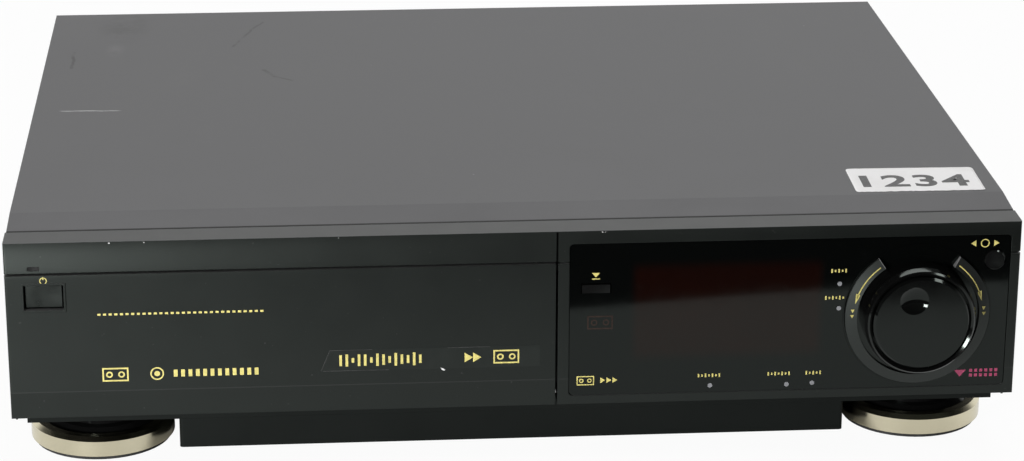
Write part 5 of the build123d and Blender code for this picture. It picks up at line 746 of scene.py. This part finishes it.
def cassette_mark(x, z, width):
    """A generic cassette pictogram: an outlined slab with two reels."""
    height = width * 0.56
    line = width * 0.06
    x0, x1 = x - width / 2, x + width / 2
    z0, z1 = z - height / 2, z + height / 2
    shapes = [
        bar_outline(x0, x1, z0, z0 + line),
        bar_outline(x0, x1, z1 - line, z1),
        bar_outline(x0, x0 + line, z0 + line, z1 - line),
        bar_outline(x1 - line, x1, z0 + line, z1 - line),
    ]
    for side in (-1, 1):
        shapes += ring_outlines(x + side * width * 0.23, z, width * 0.13, width * 0.07, 20)
    return shapes


# In millimetres: a place across, a drop below the panel's top, and the width of the row.
LAMP_ROWS = ((137.0, 20.6, 8.5), (135.5, 32.8, 9.0), (82.3, 67.0, 10.5), (112.5, 67.0, 11.5),
             (127.5, 67.0, 7.6))
# In millimetres too: the places of the other marks, each a place across and a drop.
OPEN_MARK = (33.0, 20.2)
CASSETTE_MARK = (29.0, 68.0)
PLAY_MARK_X = 36.5
DIAL_MARK = (199.5, 9.6)
PINK_MARK = (191.5, 69.0)
GHOST_MARK = (35.0, 41.5)


def window_marks(materials):
    """Generic marks on the window: a row of bars by each lamp, and one mark by each control."""
    gold = materials["gold_print"]
    y = WINDOW_Y
    outlines = []
    for x, drop, width in LAMP_ROWS:
        z = PANEL_TOP - drop * MM
        step = 1.5 * MM
        count = int(width * MM / step)
        first = x * MM - (count - 1) * step / 2
        for index in range(count):
            cx = first + index * step
            tall = (0.85 if index % 2 == 0 else 0.5) * MM
            outlines.append(bar_outline(cx - 0.32 * MM, cx + 0.32 * MM, z - tall, z + tall))
    x = OPEN_MARK[0] * MM
    z = PANEL_TOP - OPEN_MARK[1] * MM
    outlines.append(triangle(x, z + 0.2 * MM, 1.7 * MM, 0))
    outlines.append(bar_outline(x - 1.7 * MM, x + 1.7 * MM, z - 1.7 * MM, z - 1.3 * MM))
    front_print("window_marks", outlines, "case", y, gold)
    low = PANEL_TOP - CASSETTE_MARK[1] * MM
    cassette = cassette_mark(CASSETTE_MARK[0] * MM, low, 7.5 * MM)
    front_print("window_cassette_mark", cassette, "case", y, gold)
    marks = [triangle(PLAY_MARK_X * MM + k * 2.6 * MM, low, 1.3 * MM, 1) for k in range(3)]
    front_print("window_play_mark", marks, "case", y, gold)
    x = DIAL_MARK[0]
    z = PANEL_TOP - DIAL_MARK[1] * MM
    turn = ring_outlines(x * MM, z, 1.9 * MM, 1.5 * MM, 24)
    turn += [triangle((x + 5.0 * side) * MM, z, 1.4 * MM, side) for side in (-1, 1)]
    front_print("dial_mark", turn, "case", y, gold)
    z = PANEL_TOP - PINK_MARK[1] * MM
    pink = [triangle(PINK_MARK[0] * MM, z, 2.6 * MM, 0)]
    for k in range(6):
        x = (195.6 + k * 2.2) * MM
        pink.append(bar_outline(x, x + 1.3 * MM, z + 0.5 * MM, z + 1.9 * MM))
        pink.append(bar_outline(x, x + 1.3 * MM, z - 1.7 * MM, z - 0.3 * MM))
    front_print("window_pink_mark", pink, "case", y, materials["pink_print"])
    ghost = cassette_mark(GHOST_MARK[0] * MM, PANEL_TOP - GHOST_MARK[1] * MM, 11.0 * MM)
    front_print("window_ghost_mark", ghost, "case", y, materials["ghost_print"], 0.01 * MM)


ARROW_RADIUS = 28.1 * MM
ARROW_HALF = 0.22 * MM
ARROW_ARC = (math.radians(37.0), math.radians(72.0))
WING_PROUD = 2.45 * MM


def dial_point(side, radius, angle):
    """A point about the dial's axis, at an angle from straight up towards one side."""
    return DIAL_X + side * radius * math.sin(angle), DIAL_Z + radius * math.cos(angle)


def wing_arrows(materials):
    """Gold arcs with arrowheads on the shuttle ring's wings, and a double arrow below each."""
    radius, half = ARROW_RADIUS, ARROW_HALF
    first, last = ARROW_ARC
    outlines = []
    steps = 14
    for side in (-1, 1):
        for index in range(steps):
            a = first + (last - first) * index / steps
            b = first + (last - first) * (index + 1) / steps
            corners = ((radius - half, a), (radius + half, a), (radius + half, b), (radius - half, b))
            outlines.append([dial_point(side, reach, angle) for reach, angle in corners])
        tip = last + math.radians(5.0)
        base = last - math.radians(4.0)
        corners = ((radius, tip), (radius + 1.1 * MM, base), (radius - 1.0 * MM, base))
        outlines.append([dial_point(side, reach, angle) for reach, angle in corners])
        for degrees in (84.0, 89.0):
            cx, cz = dial_point(side, radius + 0.4 * MM, math.radians(degrees))
            top = cz + 0.7 * MM
            outlines.append([(cx - 0.8 * MM, top), (cx, cz - 0.8 * MM), (cx + 0.8 * MM, top)])
    front_print("wing_arrows", outlines, "shuttle", FRONT_Y - WING_PROUD, materials["gold_print"],
                0.25 * MM)


# The flap's power sign, and how far its lower row and its dotted rule are below the panel's top.
POWER_MARK = (-198.9 * MM, 88.3 * MM)
FLAP_ROW_DROP = 59.5 * MM
FLAP_RULE_DROP = 32.3 * MM
# The clear strip stuck on the flap: its left end leans, so it has two left ends.
STRIP_LOW = PANEL_TOP - 60.5 * MM
STRIP_HIGH = PANEL_TOP - 51.0 * MM
STRIP_LEFT_LOW = -84.0 * MM
STRIP_LEFT_HIGH = -80.0 * MM
STRIP_RIGHT = 9.4 * MM
STRIP_HAIR = 0.14 * MM
STRIP_NICK = ((-33.0, 44.9), (-31.9, 44.5), (-31.0, 43.8), (-31.6, 43.5), (-32.6, 44.0))


def strip_marks(materials):
    """The strip on the flap, its bright edges, one nick, and the pictograms printed on it."""
    low, high, hair = STRIP_LOW, STRIP_HIGH, STRIP_HAIR
    left_low, left_high = STRIP_LEFT_LOW, STRIP_LEFT_HIGH
    outline = [(left_low, low), (STRIP_RIGHT, low), (STRIP_RIGHT, high), (left_high, high)]
    front_print("flap_strip", [outline], "flap", FRONT_Y, materials["strip"])
    above = FRONT_Y - PRINT_THICKNESS
    edges = [
        [(left_low, low), (left_low + hair, low), (left_high + hair, high), (left_high, high)],
        bar_outline(left_high + hair, -62.0 * MM, high - hair, high),
        bar_outline(-30.0 * MM, -12.0 * MM, high - hair, high),
        bar_outline(-83.0 * MM, -55.0 * MM, low, low + hair),
    ]
    front_print("strip_edge", edges, "flap", above, materials["strip_edge"])
    nick = [(x * MM, z * MM) for x, z in STRIP_NICK]
    front_print("strip_nick", [nick], "flap", above, materials["chip"])
    middle = (low + high) / 2
    shapes = []
    for k in range(14):
        x = -76.0 * MM + k * 2.6 * MM
        tall = (1.0 + 1.9 * abs(math.sin(0.9 + k * 1.1))) * MM
        shapes.append(bar_outline(x, x + 1.1 * MM, middle - tall, middle + tall))
    shapes += cassette_mark(-5.0 * MM, middle, 11.0 * MM)
    shapes += [triangle(-21.0 * MM + k * 3.6 * MM, middle, 2.2 * MM, 1) for k in range(2)]
    front_print("strip_marks", shapes, "flap", above, materials["gold_print"])


def flap_marks(materials):
    """The generic gold pictograms on the flap: a lower row, a power sign and a dotted rule."""
    gold = materials["gold_print"]
    low = PANEL_TOP - FLAP_ROW_DROP
    marks = cassette_mark(-170.5 * MM, low, 11.0 * MM)
    marks += ring_outlines(-153.0 * MM, low, 2.9 * MM, 2.3 * MM)
    marks += ring_outlines(-153.0 * MM, low, 1.2 * MM, 0.0, 16)
    for k in range(12):
        x = -146.0 * MM + k * 3.1 * MM
        marks.append(bar_outline(x, x + 1.6 * MM, low - 1.6 * MM, low + 1.6 * MM))
    front_print("flap_marks", marks, "flap", FRONT_Y, gold)
    x, z = POWER_MARK
    gap_at_top = (5, 6)
    ring = ring_outlines(x, z, 1.55 * MM, 1.2 * MM, 24)
    power = [quad for k, quad in enumerate(ring) if k not in gap_at_top]
    power.append(bar_outline(x - 0.18 * MM, x + 0.18 * MM, z + 0.5 * MM, z + 1.8 * MM))
    front_print("power_mark", power, "flap", FRONT_Y, gold)
    line = PANEL_TOP - FLAP_RULE_DROP
    rule = []
    for k in range(30):
        x = -177.0 + k * 2.35
        rule.append(bar_outline(x * MM, (x + 1.3) * MM, line - 0.45 * MM, line + 0.45 * MM))
    front_print("flap_rule", rule, "flap", FRONT_Y, gold)


def key_marks(materials):
    """The usual pictograms on the six transport keys: back, play, on, stop, record, pause."""
    size = 1.25 * MM
    for number in range(1, 7):
        name = "transport_key_%d" % number
        low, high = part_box(name)
        x = (low.x + high.x) / 2
        z = (low.z + high.z) / 2
        shapes = {
            1: [triangle(x - size, z, size, -1), triangle(x + size, z, size, -1)],
            2: [triangle(x, z, size * 1.2, 1)],
            3: [triangle(x - size, z, size, 1), triangle(x + size, z, size, 1)],
            4: [bar_outline(x - size, x + size, z - size, z + size)],
            5: ring_outlines(x, z, size, 0.0, 24),
            6: [bar_outline(x - size, x - size * 0.3, z - size, z + size),
                bar_outline(x + size * 0.3, x + size, z - size, z + size)],
        }[number]
        front_print("key_mark_%d" % number, shapes, name, low.y, materials["gold_print"])


# ---------------------------------------------------------------- stage
# The floor glows white to the camera, and less in a mirror. Under the body it doesn't glow in one.
FLOOR_REACH = 6.0
FLOOR_Z = -0.1 * MM
FLOOR_WHITENESS = 0.95
FLOOR_MIRRORED = 0.70
UNDER_SOFT = 12.0 * MM
UNDER_INSET = 26.0 * MM
HALF_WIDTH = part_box("front_bezel")[1].x
# The dark flag lies in front. Its near edge is a list of places across and distances from the front.
FLAG_REACH = 4.0
FLAG_EDGE_POINTS = ((-FLAG_REACH, 0.165), (-0.05, 0.167), (0.022, 0.178), (0.130, 0.195), (0.215, 0.205),
                    (FLAG_REACH, 0.205))
# How strongly the world lights the object from the front and the rear, and shows in a mirror.
WORLD_FRONT = 0.12
WORLD_BEHIND = 0.45
WORLD_MIRRORED_FRONT = 0.03
WORLD_MIRRORED_ABOVE = 0.08
# Between which directions the mirrored world turns from front to rear, and from level to above.
WORLD_TURN = (-0.35, 0.35)
WORLD_RISE = (0.31, 0.45)
# Each lamp: a name, a place, a target, a width and height in metres, and a power in watts.
LAMPS = (
    ("overhead", (0.15, 0.75, 1.9), (0, 0, 0), (1.6, 0.8), 17.0),
    ("left_front", (-1.1, -1.15, 0.6), (-0.1, -0.15, 0.05), (0.4, 0.7), 2.5),
    ("left_low", (-0.56, -0.98, 0.15), (-0.2, -0.17, 0.09), (0.3, 0.2), 10.5),
    ("right_high", (0.75, -0.45, 1.05), (0.17, -0.17, 0.06), (0.14, 0.75), 3.0),
)


def flat_sheet(name, outline, z, material):
    made = bmesh.new()
    corners = [made.verts.new((x, y, z)) for x, y in outline]
    made.faces.new(corners)
    mesh = bpy.data.meshes.new(name)
    made.to_mesh(mesh)
    made.free()
    mesh.materials.append(material)
    sheet = bpy.data.objects.new(name, mesh)
    bpy.context.collection.objects.link(sheet)
    return sheet


def add_floor():
    """A white table that is clear from below."""
    n = Nodes("floor")
    soft = n.noise(2.0, detail=2.0)
    n.plug(n.shader.inputs["Base Color"], n.blend(soft, grey(0.84), grey(0.86)))
    n.shader.inputs["Roughness"].default_value = 0.8
    n.shader.inputs["Specular IOR Level"].default_value = 0.2
    path = n.tree.nodes.new("ShaderNodeLightPath")
    through = n.math("MAXIMUM", path.outputs["Is Glossy Ray"], path.outputs["Is Transmission Ray"])
    x, y, _ = n.axes()
    below = n.math("MULTIPLY", n.within(x, UNDER_INSET - HALF_WIDTH, HALF_WIDTH - UNDER_INSET, UNDER_SOFT),
                   n.within(y, FRONT_Y + UNDER_INSET, REAR_Y - UNDER_INSET, UNDER_SOFT))
    open_floor = n.math("SUBTRACT", 1.0, below)
    mirrored = n.math("MULTIPLY", n.math("MULTIPLY", through, open_floor), FLOOR_MIRRORED)
    seen = n.math("MAXIMUM", n.math("MULTIPLY", path.outputs["Is Camera Ray"], FLOOR_WHITENESS), mirrored)
    glow = n.node("ShaderNodeEmission", Color=(1, 1, 1, 1), Strength=1.0)
    clear = n.node("ShaderNodeBsdfTransparent")
    backfacing = n.node("ShaderNodeNewGeometry").outputs["Backfacing"]

    def mixed(share, first, second):
        mix = n.node("ShaderNodeMixShader")
        for socket, value in zip(mix.inputs, (share, first.outputs[0], second.outputs[0])):
            n.plug(socket, value)
        return mix

    surface = mixed(backfacing, mixed(seen, n.shader, glow), clear)
    n.plug(n.tree.nodes["Material Output"].inputs["Surface"], surface.outputs[0])
    reach = FLOOR_REACH
    corners = [(-reach, -reach), (reach, -reach), (reach, reach), (-reach, reach)]
    flat_sheet("floor", corners, FLOOR_Z, n.material)


def add_flag():
    """A dark sheet in front that shows only in reflections."""
    n = Nodes("flag")
    shade = n.noise(3.0)
    n.plug(n.shader.inputs["Base Color"], n.blend(shade, grey(0.004), grey(0.006)))
    n.shader.inputs["Roughness"].default_value = 1.0
    n.shader.inputs["Specular IOR Level"].default_value = 0.0
    near = [(x, FRONT_Y - drop) for x, drop in FLAG_EDGE_POINTS]
    far = [(FLAG_REACH, FRONT_Y - FLAG_REACH), (-FLAG_REACH, FRONT_Y - FLAG_REACH)]
    flag = flat_sheet("flag", near + far, 1.0 * MM, n.material)
    flag.visible_camera = False
    flag.visible_diffuse = False
    flag.visible_shadow = False
    flag.visible_transmission = False


def area_light(name, place, target, size, power):
    data = bpy.data.lights.new(name, "AREA")
    data.shape = "RECTANGLE"
    data.size, data.size_y = size
    data.energy = power
    light = bpy.data.objects.new(name, data)
    bpy.context.collection.objects.link(light)
    light.location = place
    light.rotation_mode = "QUATERNION"
    light.rotation_quaternion = (Vector(target) - Vector(place)).to_track_quat("-Z", "Y")


def add_world():
    """A plain world, dimmer in front. In a mirror it is white behind and dark in front and above."""
    world = bpy.data.worlds.new("studio")
    bpy.context.scene.world = world
    world.use_nodes = True
    tree = world.node_tree
    back = tree.nodes["Background"]
    back.inputs["Color"].default_value = (1, 1, 1, 1)

    def joined(operation, first, second):
        made = tree.nodes.new("ShaderNodeMath")
        made.operation = operation
        for slot, value in zip(made.inputs, (first, second)):
            if isinstance(value, float):
                slot.default_value = value
            else:
                tree.links.new(value, slot)
        return made.outputs[0]

    def ramp(value, low, high, first, last):
        made = tree.nodes.new("ShaderNodeMapRange")
        tree.links.new(value, made.inputs["Value"])
        for name, number in (("From Min", low), ("From Max", high), ("To Min", first), ("To Max", last)):
            made.inputs[name].default_value = number
        return made.outputs["Result"]

    path = tree.nodes.new("ShaderNodeLightPath")
    towards = tree.nodes.new("ShaderNodeSeparateXYZ")
    tree.links.new(tree.nodes.new("ShaderNodeTexCoord").outputs["Generated"], towards.inputs[0])
    mirrored = joined("MAXIMUM", path.outputs["Is Glossy Ray"], path.outputs["Is Transmission Ray"])
    camera = path.outputs["Is Camera Ray"]
    rest = joined("SUBTRACT", 1.0, joined("MAXIMUM", mirrored, camera))
    around = ramp(towards.outputs["Y"], *WORLD_TURN, WORLD_MIRRORED_FRONT, 1.0)
    higher = ramp(towards.outputs["Z"], *WORLD_RISE, 1.0, WORLD_MIRRORED_ABOVE)
    around = joined("MULTIPLY", around, higher)
    soft = ramp(towards.outputs["Y"], -1.0, 1.0, WORLD_FRONT, WORLD_BEHIND)
    strength = joined("ADD", camera, joined("MULTIPLY", mirrored, around))
    strength = joined("ADD", strength, joined("MULTIPLY", rest, soft))
    tree.links.new(strength, back.inputs["Strength"])


# ---------------------------------------------------------------- put together
# Nodes that look different from the rest of their slot. The bottom pan takes black paint instead of its
# slot's finish, as painted shade in the strip seen below the front's lower edge.
FINISH_BY_NODE = {"bottom_pan": "black_paint", "open_key": "gloss_black", "mode_button": "gloss_black",
                  "rear_sockets": "sockets"}


def dress(materials):
    """Gives every node that came from the frame its finish."""
    slots = {entry["node"]: entry["material_slot"] for entry in frame["record"]["subparts"]}
    slots.update(FINISH_BY_NODE)
    for name, node in frame["nodes"].items():
        material = materials[slots[name]]
        node.data.materials.clear()
        node.data.materials.append(material)


add_camera()
finishes = make_materials()
dress(finishes)
lot_label(finishes)
lot_digits(finishes)
edge_chips(finishes)
band_seam(finishes)
window_marks(finishes)
wing_arrows(finishes)
strip_marks(finishes)
flap_marks(finishes)
key_marks(finishes)
add_floor()
add_flag()
add_world()
for lamp in LAMPS:
    area_light(*lamp)
bpy.context.scene.view_settings.view_transform = "Standard"
